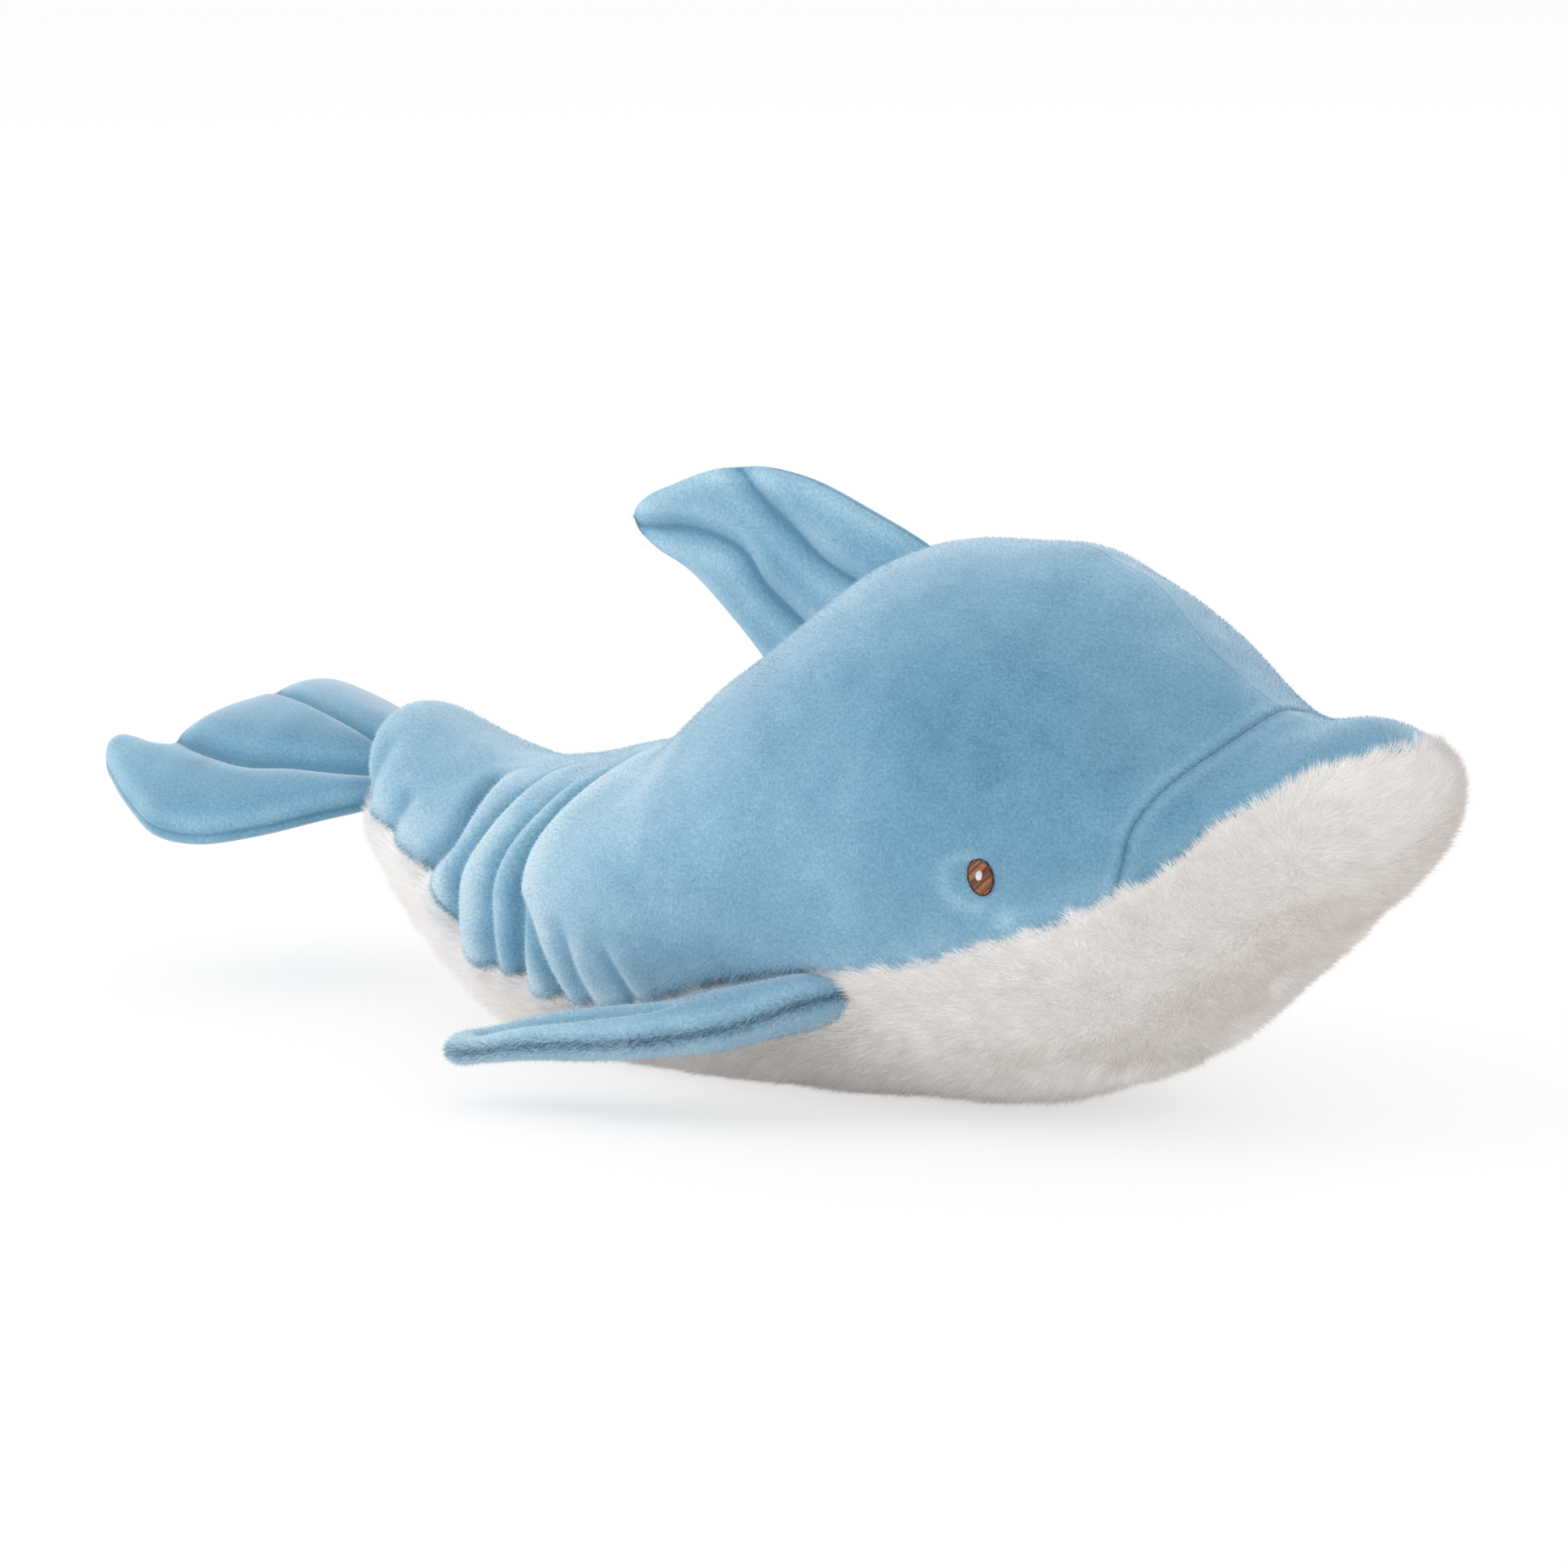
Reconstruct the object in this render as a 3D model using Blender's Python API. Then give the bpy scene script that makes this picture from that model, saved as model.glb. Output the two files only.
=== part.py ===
"""Plush dolphin lying on its belly, with its head raised and its tail curled up.

Metres, +Z up, the beak towards +X and the dolphin's right side towards -Y. The origin is on the
resting plane. The body is a loft along a middle line: s is the length along that line from the
tail, and v is the angle round it from the back, positive on the dolphin's right side.
"""

import math

import bmesh
import bpy
import numpy as np
from mathutils import Matrix, Vector

# Body: x, z, half width, reach up, reach down and squareness of the back, from the tail to the beak
BODY_STATIONS = (
    (-0.126, 0.0605, 0.021, 0.0150, 0.019, 2.00),
    (-0.112, 0.0545, 0.025, 0.0180, 0.024, 2.00),
    (-0.092, 0.0455, 0.033, 0.0235, 0.032, 2.00),
    (-0.068, 0.0400, 0.043, 0.0285, 0.042, 2.00),
    (-0.040, 0.0410, 0.053, 0.0325, 0.049, 2.00),
    (-0.010, 0.0480, 0.060, 0.0345, 0.056, 1.95),
    (0.022, 0.0570, 0.064, 0.0505, 0.062, 1.90),
    (0.055, 0.0635, 0.066, 0.0680, 0.064, 1.90),
    (0.085, 0.0670, 0.066, 0.0695, 0.064, 1.74),
    (0.113, 0.0710, 0.061, 0.0662, 0.057, 1.58),
    (0.138, 0.0770, 0.050, 0.0448, 0.044, 1.46),
    (0.160, 0.0830, 0.039, 0.0205, 0.034, 1.72),
    (0.180, 0.0860, 0.031, 0.0175, 0.024, 2.00),
    (0.196, 0.0870, 0.027, 0.0155, 0.019, 2.00),
)
BELLY_SQUARENESS = 2.1
TAIL_ROUNDING = 0.012
BEAK_ROUNDING = 0.022
TAIL_OPENING = 0.0035
TAIL_LEAN = 0.65
TAIL_LEANING = 0.035

# Seam between the blue panels and the white belly: s and the angle from the back in degrees.
# It closes over the beak short of its tip, and the muzzle's seam lies behind that place.
BORDER = (
    (0.000, 112),
    (0.028, 101),
    (0.046, 100),
    (0.060, 115),
    (0.079, 117),
    (0.092, 121),
    (0.150, 115),
    (0.204, 110),
    (0.242, 106),
    (0.270, 104),
    (0.288, 98),
    (0.306, 79),
    (0.317, 54),
)
BORDER_TO_TIP = 0.0057
MUZZLE_PATCH = 0.0295
MUZZLE_SLANT = 0.0245
MUZZLE_BOW = 2.0
MUZZLE_BLEND = 0.6

# Cloth, pile and the spaces that a seam or a filling keeps
CLOTH = 0.0018
FUR_LIFT = 0.0018
FUR_RAMP = 0.006
SEAM_GAP = 0.0004
FILLING_GAP = 0.0012
FIN_FILLING_GAP = 0.0005
THINNEST_FILLING = 0.0001

# Gathers at the tail: s at the belly seam, s on the back, depth and half width of each valley
GATHERS = (
    (0.045, 0.043, 0.0022, 0.0045),
    (0.057, 0.068, 0.0024, 0.0045),
    (0.070, 0.082, 0.0014, 0.0040),
    (0.079, 0.112, 0.0028, 0.0050),
    (0.101, 0.124, 0.0014, 0.0050),
)
GATHER_BULGE = 0.0012
GATHER_BULGE_AT = 1.9
GATHER_UNDER = 0.35
GATHER_FADE = (18, 60)
GATHERED = (0.020, 0.140)

# Dorsal fin: its anchor along the back, and its edges from there to the tip as (forward, up)
DORSAL_AT = 0.167
DORSAL_FRONT = (
    (0.0395, -0.001),
    (0.0355, 0.008),
    (0.0245, 0.0145),
    (0.0045, 0.0225),
    (-0.0165, 0.029),
    (-0.0385, 0.03),
    (-0.0585, 0.0235),
    (-0.0665, 0.0200),
    (-0.0708, 0.0165),
    (-0.0717, 0.0135),
)
DORSAL_REAR = (
    (-0.0145, -0.035),
    (-0.0185, -0.03),
    (-0.0275, -0.019),
    (-0.0395, -0.008),
    (-0.0530, 0.0020),
    (-0.0660, 0.0075),
    (-0.0705, 0.0105),
    (-0.0717, 0.0135),
)
DORSAL_HALF = 0.0065
DORSAL_CHANNELS = (((0.0, 0.36), (0.66, 0.0)), ((0.0, 0.66), (1.0, 0.80)))

# Fluke: its edges from the middle to a tip, as (backward, sideways) from the tail's end
FLUKE_FRONT = (
    (-0.002, 0.0),
    (-0.001, 0.010),
    (0.006, 0.023),
    (0.016, 0.036),
    (0.031, 0.051),
    (0.050, 0.055),
    (0.070, 0.049),
    (0.081, 0.042),
)
FLUKE_REAR = (
    (0.075, 0.0),
    (0.074, 0.014),
    (0.0715, 0.024),
    (0.0725, 0.030),
    (0.079, 0.036),
    (0.081, 0.042),
)
FLUKE_HALF = 0.0070
# The far lobe is the near one turned over, a little shorter and swept back
FLUKE_FAR_LOBE = ((1.0, 0.0, 0.0), (0.2, -0.93, 0.0), (0.0, 0.0, 1.0))
FLUKE_CHANNELS = (((0.16, 0.0), (0.34, 1.0)),)
FLUKE_DROOP = 0.013
FLUKE_TURN = math.radians(12)
FLUKE_ROLL = math.radians(8)
FLUKE_RISE = math.radians(10)
FLUKE_SEAT = (0.006, -0.003, -0.0070)

# Flipper: where it is sewn into the belly seam, and its edges as (forward, outward, up) from there
FLIPPER_AT = 0.184
FLIPPER_FRONT = (
    (0.012, -0.011, -0.0022),
    (0.014, 0.002, -0.0022),
    (0.006, 0.008, -0.0042),
    (-0.005, 0.016, -0.0092),
    (-0.023, 0.026, -0.0152),
    (-0.037, 0.031, -0.0192),
    (-0.059, 0.035, -0.0212),
    (-0.073, 0.037, -0.0242),
    (-0.081, 0.035, -0.0257),
)
FLIPPER_REAR = (
    (-0.02, -0.013, -0.0102),
    (-0.022, -0.002, -0.0112),
    (-0.039, 0.007, -0.0132),
    (-0.057, 0.014, -0.0162),
    (-0.072, 0.023, -0.0207),
    (-0.081, 0.03, -0.0247),
    (-0.081, 0.035, -0.0257),
)
FLIPPER_HALF = 0.0070
FLIPPER_CHANNELS = (((0.42, 0.55), (0.86, 0.5)),)
CHANNEL_DEPTH = 0.45
CHANNEL_WIDTH = 0.003
RIM_HALF = 0.0012
CROWN_ACROSS = 2.6
CROWN_ALONG = 4
FLIPPER_CROWN_ALONG = 9

# Eye: a satin-stitched oval with a highlight
EYE_AT = 0.243
EYE_ANGLE = 93
EYE_WIDTH = 0.0064
EYE_HEIGHT = 0.0088
EYE_RAISE = 0.0014
EYE_TILT = math.radians(12)
HIGHLIGHT_WIDTH = 0.0020
HIGHLIGHT_RAISE = 0.0022

# Rows and columns of the meshes
GATHERED_ROWS = 20
PLAIN_ROWS = 13
END_ROWS = 5
SIDE_COLUMNS = 8
BELLY_COLUMNS = 12
MUZZLE_ROWS = 10
FILLING_COLUMNS = 16
CLEARANCE_COLUMNS = 48
FIN_COLUMNS = 9
FIN_ROWS = 7
EYE_SEGMENTS = 20
SHARP_ANGLE = math.radians(50)

VELOUR_BLUE = (0.165, 0.352, 0.503, 1)
FUR_WHITE = (0.80, 0.78, 0.74, 1)
FILLING_WHITE = (0.75, 0.75, 0.73, 1)
THREAD_BROWN = (0.20, 0.065, 0.035, 1)
THREAD_WHITE = (0.85, 0.84, 0.82, 1)


def curve_through(knots, values, at):
    """The values at some knots, carried smoothly to the places between them."""
    knots = np.asarray(knots, float)
    values = np.asarray(values, float)
    slopes = np.gradient(values, knots, axis=0)
    at = np.clip(np.asarray(at, float), knots[0], knots[-1])
    i = np.clip(np.searchsorted(knots, at, side="right") - 1, 0, len(knots) - 2)
    step = knots[i + 1] - knots[i]
    t = (at - knots[i]) / step
    if values.ndim > 1:
        t = t[..., None]
        step = step[..., None]
    start = (2 * t**3 - 3 * t**2 + 1) * values[i] + (t**3 - 2 * t**2 + t) * step * slopes[i]
    end = (3 * t**2 - 2 * t**3) * values[i + 1] + (t**3 - t**2) * step * slopes[i + 1]
    return start + end


def path_through(points, at):
    """Points along a smooth line, with at from 0 to 1 by its length."""
    points = np.asarray(points, float)
    lengths = np.concatenate([[0], np.cumsum(np.linalg.norm(np.diff(points, axis=0), axis=1))])
    return curve_through(lengths / lengths[-1], points, at)


def smooth_step(x):
    x = np.clip(x, 0, 1)
    return x * x * (3 - 2 * x)


STATIONS = np.array(BODY_STATIONS)
STATION_AT = np.concatenate([[0], np.cumsum(np.hypot(*np.diff(STATIONS[:, :2], axis=0).T))])
BODY_LENGTH = STATION_AT[-1]
BORDER_TOP = BODY_LENGTH - BORDER_TO_TIP
MUZZLE_TOP = BORDER_TOP - MUZZLE_PATCH
MUZZLE_FOOT = MUZZLE_TOP - MUZZLE_SLANT


def middle_line(s):
    """The middle line's point and direction in the XZ plane."""
    reach = 0.001
    here = curve_through(STATION_AT, STATIONS[:, :2], s)
    ahead = curve_through(STATION_AT, STATIONS[:, :2], np.minimum(s + reach, BODY_LENGTH))
    behind = curve_through(STATION_AT, STATIONS[:, :2], np.maximum(s - reach, 0))
    way = ahead - behind
    return here, way / np.linalg.norm(way, axis=-1, keepdims=True)


def rounded_end(along, rounding):
    return np.sqrt(1 - np.clip(1 - along / rounding, 0, 1) ** 2)


def body_base(s, v):
    """The body's surface before its gathers, its pile and the floor."""
    s, v = np.broadcast_arrays(np.asarray(s, float), np.asarray(v, float))
    here, way = middle_line(s)
    sizes = curve_through(STATION_AT, STATIONS[:, 2:], s)
    end = rounded_end(s, TAIL_ROUNDING) * rounded_end(BODY_LENGTH - s, BEAK_ROUNDING)
    over = np.cos(v) > 0
    power = 2 / np.where(over, sizes[..., 3], BELLY_SQUARENESS)
    up = np.where(over, sizes[..., 1], sizes[..., 2]) * end
    rise = up * np.sign(np.cos(v)) * np.abs(np.cos(v)) ** power
    side = sizes[..., 0] * end * np.sign(np.sin(v)) * np.abs(np.sin(v)) ** power
    x = here[..., 0] - way[..., 1] * rise
    x = x - TAIL_LEAN * smooth_step(1 - s / TAIL_LEANING) * np.maximum(rise, 0)
    return np.stack([x, -side, here[..., 1] + way[..., 0] * rise], -1)


def body_normal(s, v):
    """Outward directions of the body's surface: along the middle line at its two ends."""
    s, v = np.broadcast_arrays(np.asarray(s, float), np.asarray(v, float))
    reach = 0.0005
    turn = 0.01
    inside = np.clip(s, reach, BODY_LENGTH - reach)
    along = body_base(inside + reach, v) - body_base(inside - reach, v)
    round_it = body_base(inside, v + turn) - body_base(inside, v - turn)
    out = np.cross(round_it, along)
    out = out / np.linalg.norm(out, axis=-1, keepdims=True)
    way = middle_line(s)[1]
    way = np.stack([way[..., 0], 0 * s, way[..., 1]], -1)
    out = np.where((s <= 0)[..., None], -way, out)
    return np.where((s >= BODY_LENGTH)[..., None], way, out)


def border_angle(s):
    """The angle of the belly seam from the back: it meets the back at BORDER_TOP, on the beak."""
    knots, degrees = np.array(BORDER).T
    last = knots[-1]
    angle = np.radians(curve_through(knots, degrees, s))
    left = np.clip((BORDER_TOP - s) / (BORDER_TOP - last), 0, 1)
    return np.where(s > last, angle * np.sqrt(left), angle)


def muzzle_seam(v):
    """Where the muzzle's seam lies along the body, from the back down to the belly seam."""
    foot = border_angle(np.array(MUZZLE_FOOT))
    return MUZZLE_TOP - MUZZLE_SLANT * np.clip(np.abs(v) / foot, 0, 1) ** MUZZLE_BOW


def folded_angle(v):
    """The angle from the back on either side, from 0 to pi."""
    return np.abs((np.asarray(v, float) + math.pi) % (2 * math.pi) - math.pi)


def gathers(s, v):
    """Height of the gathered cloth at the tail: valleys that fade towards the back and the belly."""
    side = folded_angle(v)
    fade_from, fade_to = np.radians(GATHER_FADE)
    strength = smooth_step((side - fade_from) / (fade_to - fade_from))
    seam = border_angle(np.asarray(s, float))
    strength = strength * (1 - smooth_step((side - seam) / GATHER_UNDER))
    lean = np.clip(side / np.maximum(seam, fade_from), 0, 1)
    height = np.zeros(np.broadcast(s, v).shape)
    for low, high, depth, width in GATHERS:
        away = (s - (high + (low - high) * lean)) / width
        height = height - depth * np.exp(-(away**2))
        height = height + GATHER_BULGE * np.exp(-((away - GATHER_BULGE_AT) ** 2))
    return height * strength


def pile(s, v):
    """How far the white pile stands above the blue cloth, rising from the seam."""
    width = curve_through(STATION_AT, STATIONS[:, 2], s)
    past = (folded_angle(v) - border_angle(np.asarray(s, float))) * width
    past = np.where(s > BORDER_TOP, FUR_RAMP, past)
    return FUR_LIFT * smooth_step(past / FUR_RAMP)


def body_skin(s, v, lift=0.0, gathered=True):
    """The body's outer surface, or one that lies a lift off it, flat where it rests on the floor."""
    s, v = np.broadcast_arrays(np.asarray(s, float), np.asarray(v, float))
    out = gathers(s, v) * gathered + lift + np.where(lift >= 0, pile(s, v), 0)
    points = body_base(s, v) + body_normal(s, v) * out[..., None]
    points[..., 2] = np.maximum(points[..., 2], -lift)
    return points


def body_rows():
    """Places along the body for its rows: closer at the rounded ends and across the gathers."""
    turn = np.linspace(0, 1, END_ROWS + 1) * math.pi / 2
    tail = TAIL_ROUNDING * (1 - np.cos(turn[1:]))
    gathered = np.linspace(TAIL_ROUNDING, GATHERED[1], GATHERED_ROWS)[1:]
    plain = np.linspace(GATHERED[1], BODY_LENGTH - BEAK_ROUNDING, PLAIN_ROWS)[1:]
    beak = BODY_LENGTH - BEAK_ROUNDING * (1 - np.sin(turn))
    rows = np.concatenate([tail, gathered, plain, beak[1:]])
    return np.concatenate([[TAIL_OPENING], rows[rows > TAIL_OPENING + 0.001]])


def mesh_from_sheets(name, outer, inner, collection, material):
    """A closed solid between two sheets of points, or from one sheet that closes on itself.

    Points of the outer sheet that coincide are welded, and walls close what is left open. Every
    four-sided patch is split the same way in both sheets, and each wall by the x of its corners,
    so that neighbours keep their distance.
    """
    rows, columns = outer.shape[:2]
    flat = outer.reshape(-1, 3)
    keys = {}
    welded = [keys.setdefault(tuple(np.round(point, 6)), number) for number, point in enumerate(flat)]
    bm = bmesh.new()
    top = {number: bm.verts.new(flat[number]) for number in sorted(set(welded))}
    sheets = [(top, 1)]
    if inner is not None:
        below = inner.reshape(-1, 3)
        sheets.append(({number: bm.verts.new(below[number]) for number in top}, -1))
    edges = {}
    for i in range(rows - 1):
        for j in range(columns - 1):
            loop = [welded[k] for k in (i * columns + j, i * columns + j + 1,
                                        (i + 1) * columns + j + 1, (i + 1) * columns + j)]
            loop = [k for n, k in enumerate(loop) if k != loop[n - 1]]
            if len(loop) < 3:
                continue
            for verts, way in sheets:
                for n in range(1, len(loop) - 1):
                    bm.faces.new([verts[k] for k in (loop[0], loop[n], loop[n + 1])[::way]])
            for a, b in zip(loop, loop[1:] + loop[:1]):
                edges[(a, b)] = (b, a) not in edges
                if not edges[(a, b)]:
                    edges[(b, a)] = False
    if inner is not None:
        bottom = sheets[1][0]
        for (a, b), open_edge in edges.items():
            if not open_edge:
                continue
            if flat[a][0] < flat[b][0]:
                bm.faces.new([top[b], top[a], bottom[b]])
                bm.faces.new([top[a], bottom[a], bottom[b]])
            else:
                bm.faces.new([top[b], top[a], bottom[a]])
                bm.faces.new([top[b], bottom[a], bottom[b]])
    bmesh.ops.recalc_face_normals(bm, faces=bm.faces)
    return object_from_bmesh(name, bm, collection, material)


def object_from_bmesh(name, bm, collection, material=None):
    mesh = bpy.data.meshes.new(name)
    bm.to_mesh(mesh)
    bm.free()
    mesh.shade_smooth()
    mesh.set_sharp_from_angle(angle=SHARP_ANGLE)
    if material:
        mesh.materials.append(material)
    made = bpy.data.objects.new(name, mesh)
    collection.objects.link(made)
    return made


def new_material(name, colour, roughness):
    material = bpy.data.materials.new(name)
    material.use_nodes = True
    shader = material.node_tree.nodes["Principled BSDF"]
    shader.inputs["Base Color"].default_value = colour
    shader.inputs["Roughness"].default_value = roughness
    shader.inputs["Metallic"].default_value = 0
    return material


def cut_away(piece, cutter):
    """Takes the cutter's space out of a piece."""
    cut = piece.modifiers.new(f"clear_of_{cutter.name}", "BOOLEAN")
    cut.operation = "DIFFERENCE"
    cut.solver = "EXACT"
    cut.object = cutter
    return piece


def side_panel(name, hand, collection, material):
    """A blue panel from the back to the belly seam, and from the tail to the muzzle's seam."""
    share = np.linspace(0, 1, SIDE_COLUMNS + 1)
    rows = body_rows()
    rows = rows[rows < MUZZLE_FOOT]
    reach = (rows - rows[0]) / (MUZZLE_FOOT - rows[0])
    reach = np.append(reach, 1)
    v = share * border_angle(np.array(MUZZLE_FOOT))
    last = muzzle_seam(v) - SEAM_GAP / 2
    blend = smooth_step((reach - MUZZLE_BLEND) / (1 - MUZZLE_BLEND))[:, None]
    s = rows[0] + reach[:, None] * (MUZZLE_FOOT - rows[0]) + blend * (last - MUZZLE_FOOT)
    width = curve_through(STATION_AT, STATIONS[:, 2], s)
    v = share * (border_angle(s) - SEAM_GAP / 2 / width)
    outer = body_skin(s, v)
    inner = body_skin(s, v, -CLOTH)
    for sheet in (outer, inner):
        sheet[..., 1] = np.minimum(sheet[..., 1], -SEAM_GAP / 2)
        sheet[..., 1] *= hand
    return mesh_from_sheets(name, outer, inner, collection, material)


def muzzle_share():
    """How far each of the muzzle's rows lies from its seam to the tip of its border."""
    return np.sin(np.linspace(0, math.pi / 2, MUZZLE_ROWS + 1))


def muzzle_panel(name, collection, material):
    """The blue panel over the beak, which narrows to nothing where the white fur closes over it."""
    share = np.linspace(-1, 1, 2 * SIDE_COLUMNS + 1)
    end = BORDER_TOP - SEAM_GAP
    foot = border_angle(np.array(MUZZLE_FOOT))
    start = muzzle_seam(share * foot) + SEAM_GAP / 2
    s = start + (end - start) * muzzle_share()[:, None]
    width = curve_through(STATION_AT, STATIONS[:, 2], s)
    v = share * np.maximum(border_angle(s) - SEAM_GAP / 2 / width, 0)
    return mesh_from_sheets(name, body_skin(s, v), body_skin(s, v, -CLOTH), collection, material)


def belly_panel(name, collection, material):
    """The white panel under the body, which wraps the tip of the beak."""
    rows = body_rows()
    beside_muzzle = MUZZLE_FOOT + (BORDER_TOP - SEAM_GAP - MUZZLE_FOOT) * muzzle_share()
    s = np.concatenate([
        rows[rows < MUZZLE_FOOT - SEAM_GAP],
        beside_muzzle,
        [BORDER_TOP],
        rows[rows > BORDER_TOP + SEAM_GAP],
    ])[:, None]
    width = curve_through(STATION_AT, STATIONS[:, 2], s)
    start = np.where(s < BORDER_TOP, border_angle(s) + SEAM_GAP / 2 / width, 0)
    share = np.linspace(0, 1, BELLY_COLUMNS + 1)
    v = start + share * (2 * math.pi - 2 * start)
    s = s + 0 * v
    return mesh_from_sheets(name, body_skin(s, v), body_skin(s, v, -CLOTH), collection, material)


def closed_body(name, rows, columns, lift, gathered, collection, material):
    """A closed solid of the body's form, a lift off its surface."""
    rows = np.concatenate([[0], rows])
    v = np.linspace(-math.pi, math.pi, columns + 1)
    sheet = body_skin(rows[:, None], v[None, :], lift(rows)[:, None], gathered)
    return mesh_from_sheets(name, sheet, None, collection, material)


def body_filling(collection, material):
    """The body's filling, which keeps clear of the deepest gather."""
    rows = body_rows()
    folded = (rows > TAIL_ROUNDING) & (rows < GATHERED[1])
    rows = np.concatenate([rows[rows <= TAIL_ROUNDING], rows[folded][1::2], rows[rows >= GATHERED[1]]])
    deepest = max(depth for _, _, depth, _ in GATHERS)

    def lift(s):
        start, end = (smooth_step((s - place) / GATHERED[0]) for place in (0, GATHERED[1]))
        return -(CLOTH + FILLING_GAP + deepest * (start - end))

    return closed_body("body_filling", rows, FILLING_COLUMNS, lift, False, collection, material)


def body_clearance(collection):
    """The space that the body and its seams' gap take out of what is sewn onto it."""
    rows = body_rows()
    rows = np.sort(np.concatenate([rows, (rows[1:] + rows[:-1]) / 2]))

    def lift(s):
        return SEAM_GAP + 0 * s

    return closed_body("body_clearance", rows, CLEARANCE_COLUMNS, lift, True, collection, None)


def channels(points, u, w, lines):
    """Share of a fin's thickness left beside its stitched lines, each from one (u, w) to another."""
    left = np.ones(u.shape)
    for start, end in lines:
        start, end = np.array(start), np.array(end)
        way = end - start
        along = ((u - start[0]) * way[0] + (w - start[1]) * way[1]) / (way @ way)
        along = np.clip(along, 0, 1)
        gap_u = u - start[0] - along * way[0]
        gap_w = w - start[1] - along * way[1]
        across = np.linalg.norm(points[:, -1] - points[:, 0], axis=-1)[:, None]
        length = np.linalg.norm(points[-1] - points[0], axis=-1).max()
        away = np.hypot(gap_u * length, gap_w * across)
        left = left - CHANNEL_DEPTH * np.exp(-((away / CHANNEL_WIDTH) ** 2))
    return left


def fin_middle(front, rear, u, w):
    """A fin's middle surface: u from the root to the tip, w from the front edge to the rear."""
    front = path_through(front, u)
    rear = path_through(rear, u)
    return front + (rear - front) * w[..., None]


def fin_form(front, rear, half, blunt, lines, u, w):
    """A fin's middle surface and its half thickness there, which falls towards its seams."""
    u, w = np.broadcast_arrays(u, w)
    middle = fin_middle(front, rear, u, w)
    crown = np.sqrt(np.clip(1 - np.abs(2 * w - 1) ** CROWN_ACROSS, 0, 1))
    crown = crown * np.sqrt(np.clip(1 - u**blunt, 0, 1))
    thick = half * crown * channels(middle, u, w, lines)
    return middle, np.maximum(thick, RIM_HALF)


def fin_pieces(names, front, rear, up, half, blunt, lines, hand, far_lobe, collection, materials):
    """Two panels that meet at the rim's seam, and the filling between them.

    Where a far lobe is given, the fin is a half that runs from the middle to one of two tips.
    """
    u = np.sin(np.linspace(0, 1, FIN_COLUMNS + 1) * math.pi / 2)
    w = (1 - np.cos(np.linspace(0, 1, FIN_ROWS + 1) * math.pi)) / 2
    middle, thick = fin_form(front, rear, half, blunt, lines, u[:, None], w[None, :])
    stuffed = slice(0, -2)
    if far_lobe is not None:
        middle = np.concatenate([middle[:0:-1] @ np.array(far_lobe), middle])
        thick = np.concatenate([thick[:0:-1], thick])
        stuffed = slice(2, -2)
    flip = np.array([1, hand, 1])
    up = np.asarray(up, float)
    made = []
    for name, way in zip(names[:2], (1, -1)):
        under = np.maximum(thick - CLOTH, SEAM_GAP / 2)
        outer = middle + up * (way * thick)[..., None]
        inner = middle + up * (way * under)[..., None]
        made.append(mesh_from_sheets(name, outer * flip, inner * flip, collection, materials[0]))
    middle = middle[stuffed, 1:-1]
    filled = np.maximum(thick - CLOTH - FIN_FILLING_GAP, THINNEST_FILLING)[stuffed, 1:-1, None]
    upper = (middle + up * filled) * flip
    lower = (middle - up * filled) * flip
    made.append(mesh_from_sheets(names[2], upper, lower, collection, materials[1]))
    return made


def dorsal_fin(collection, materials):
    anchor = body_skin(DORSAL_AT, 0)
    front, rear = (
        [anchor + np.array([forward, 0, up]) for forward, up in edge]
        for edge in (DORSAL_FRONT, DORSAL_REAR)
    )
    names = ("dorsal_fin_left_panel", "dorsal_fin_right_panel", "dorsal_fin_filling")
    return fin_pieces(names, front, rear, (0, 1, 0), DORSAL_HALF, CROWN_ALONG, DORSAL_CHANNELS,
                      1, None, collection, materials)


def fluke(collection, materials):
    """The fluke lies back from the tail's end, turned, rolled and raised a little."""
    half_span = max(side for _, side in FLUKE_FRONT)
    front, rear = (
        [np.array([-back, -side, -FLUKE_DROOP * (side / half_span) ** 2]) for back, side in edge]
        for edge in (FLUKE_FRONT, FLUKE_REAR)
    )
    names = ("fluke_upper_panel", "fluke_lower_panel", "fluke_filling")
    made = fin_pieces(names, front, rear, (0, 0, 1), FLUKE_HALF, CROWN_ALONG, FLUKE_CHANNELS,
                      1, FLUKE_FAR_LOBE, collection, materials)
    here, _ = middle_line(0.0)
    place = (
        Matrix.Translation((here[0], 0, here[1]))
        @ Matrix.Translation(FLUKE_SEAT)
        @ Matrix.Rotation(-FLUKE_TURN, 4, "Z")
        @ Matrix.Rotation(FLUKE_RISE, 4, "Y")
        @ Matrix.Rotation(FLUKE_ROLL, 4, "X")
    )
    for piece in made:
        piece.data.transform(place)
    return made


def flipper(side, hand, collection, materials):
    anchor = body_skin(FLIPPER_AT, border_angle(np.array(FLIPPER_AT)))
    outward = np.array([1, -1, 1])
    front, rear = (
        [anchor + outward * point for point in edge] for edge in (FLIPPER_FRONT, FLIPPER_REAR)
    )
    length = front[-1] - (front[0] + rear[0]) / 2
    across = front[len(front) // 2] - rear[len(rear) // 2]
    up = np.cross(across, length)
    up = up / np.linalg.norm(up) * math.copysign(1, up[2])
    names = [f"{side}_flipper_{part}" for part in ("upper_panel", "lower_panel", "filling")]
    return fin_pieces(names, front, rear, up, FLIPPER_HALF, FLIPPER_CROWN_ALONG,
                      FLIPPER_CHANNELS, hand, None, collection, materials)


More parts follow.
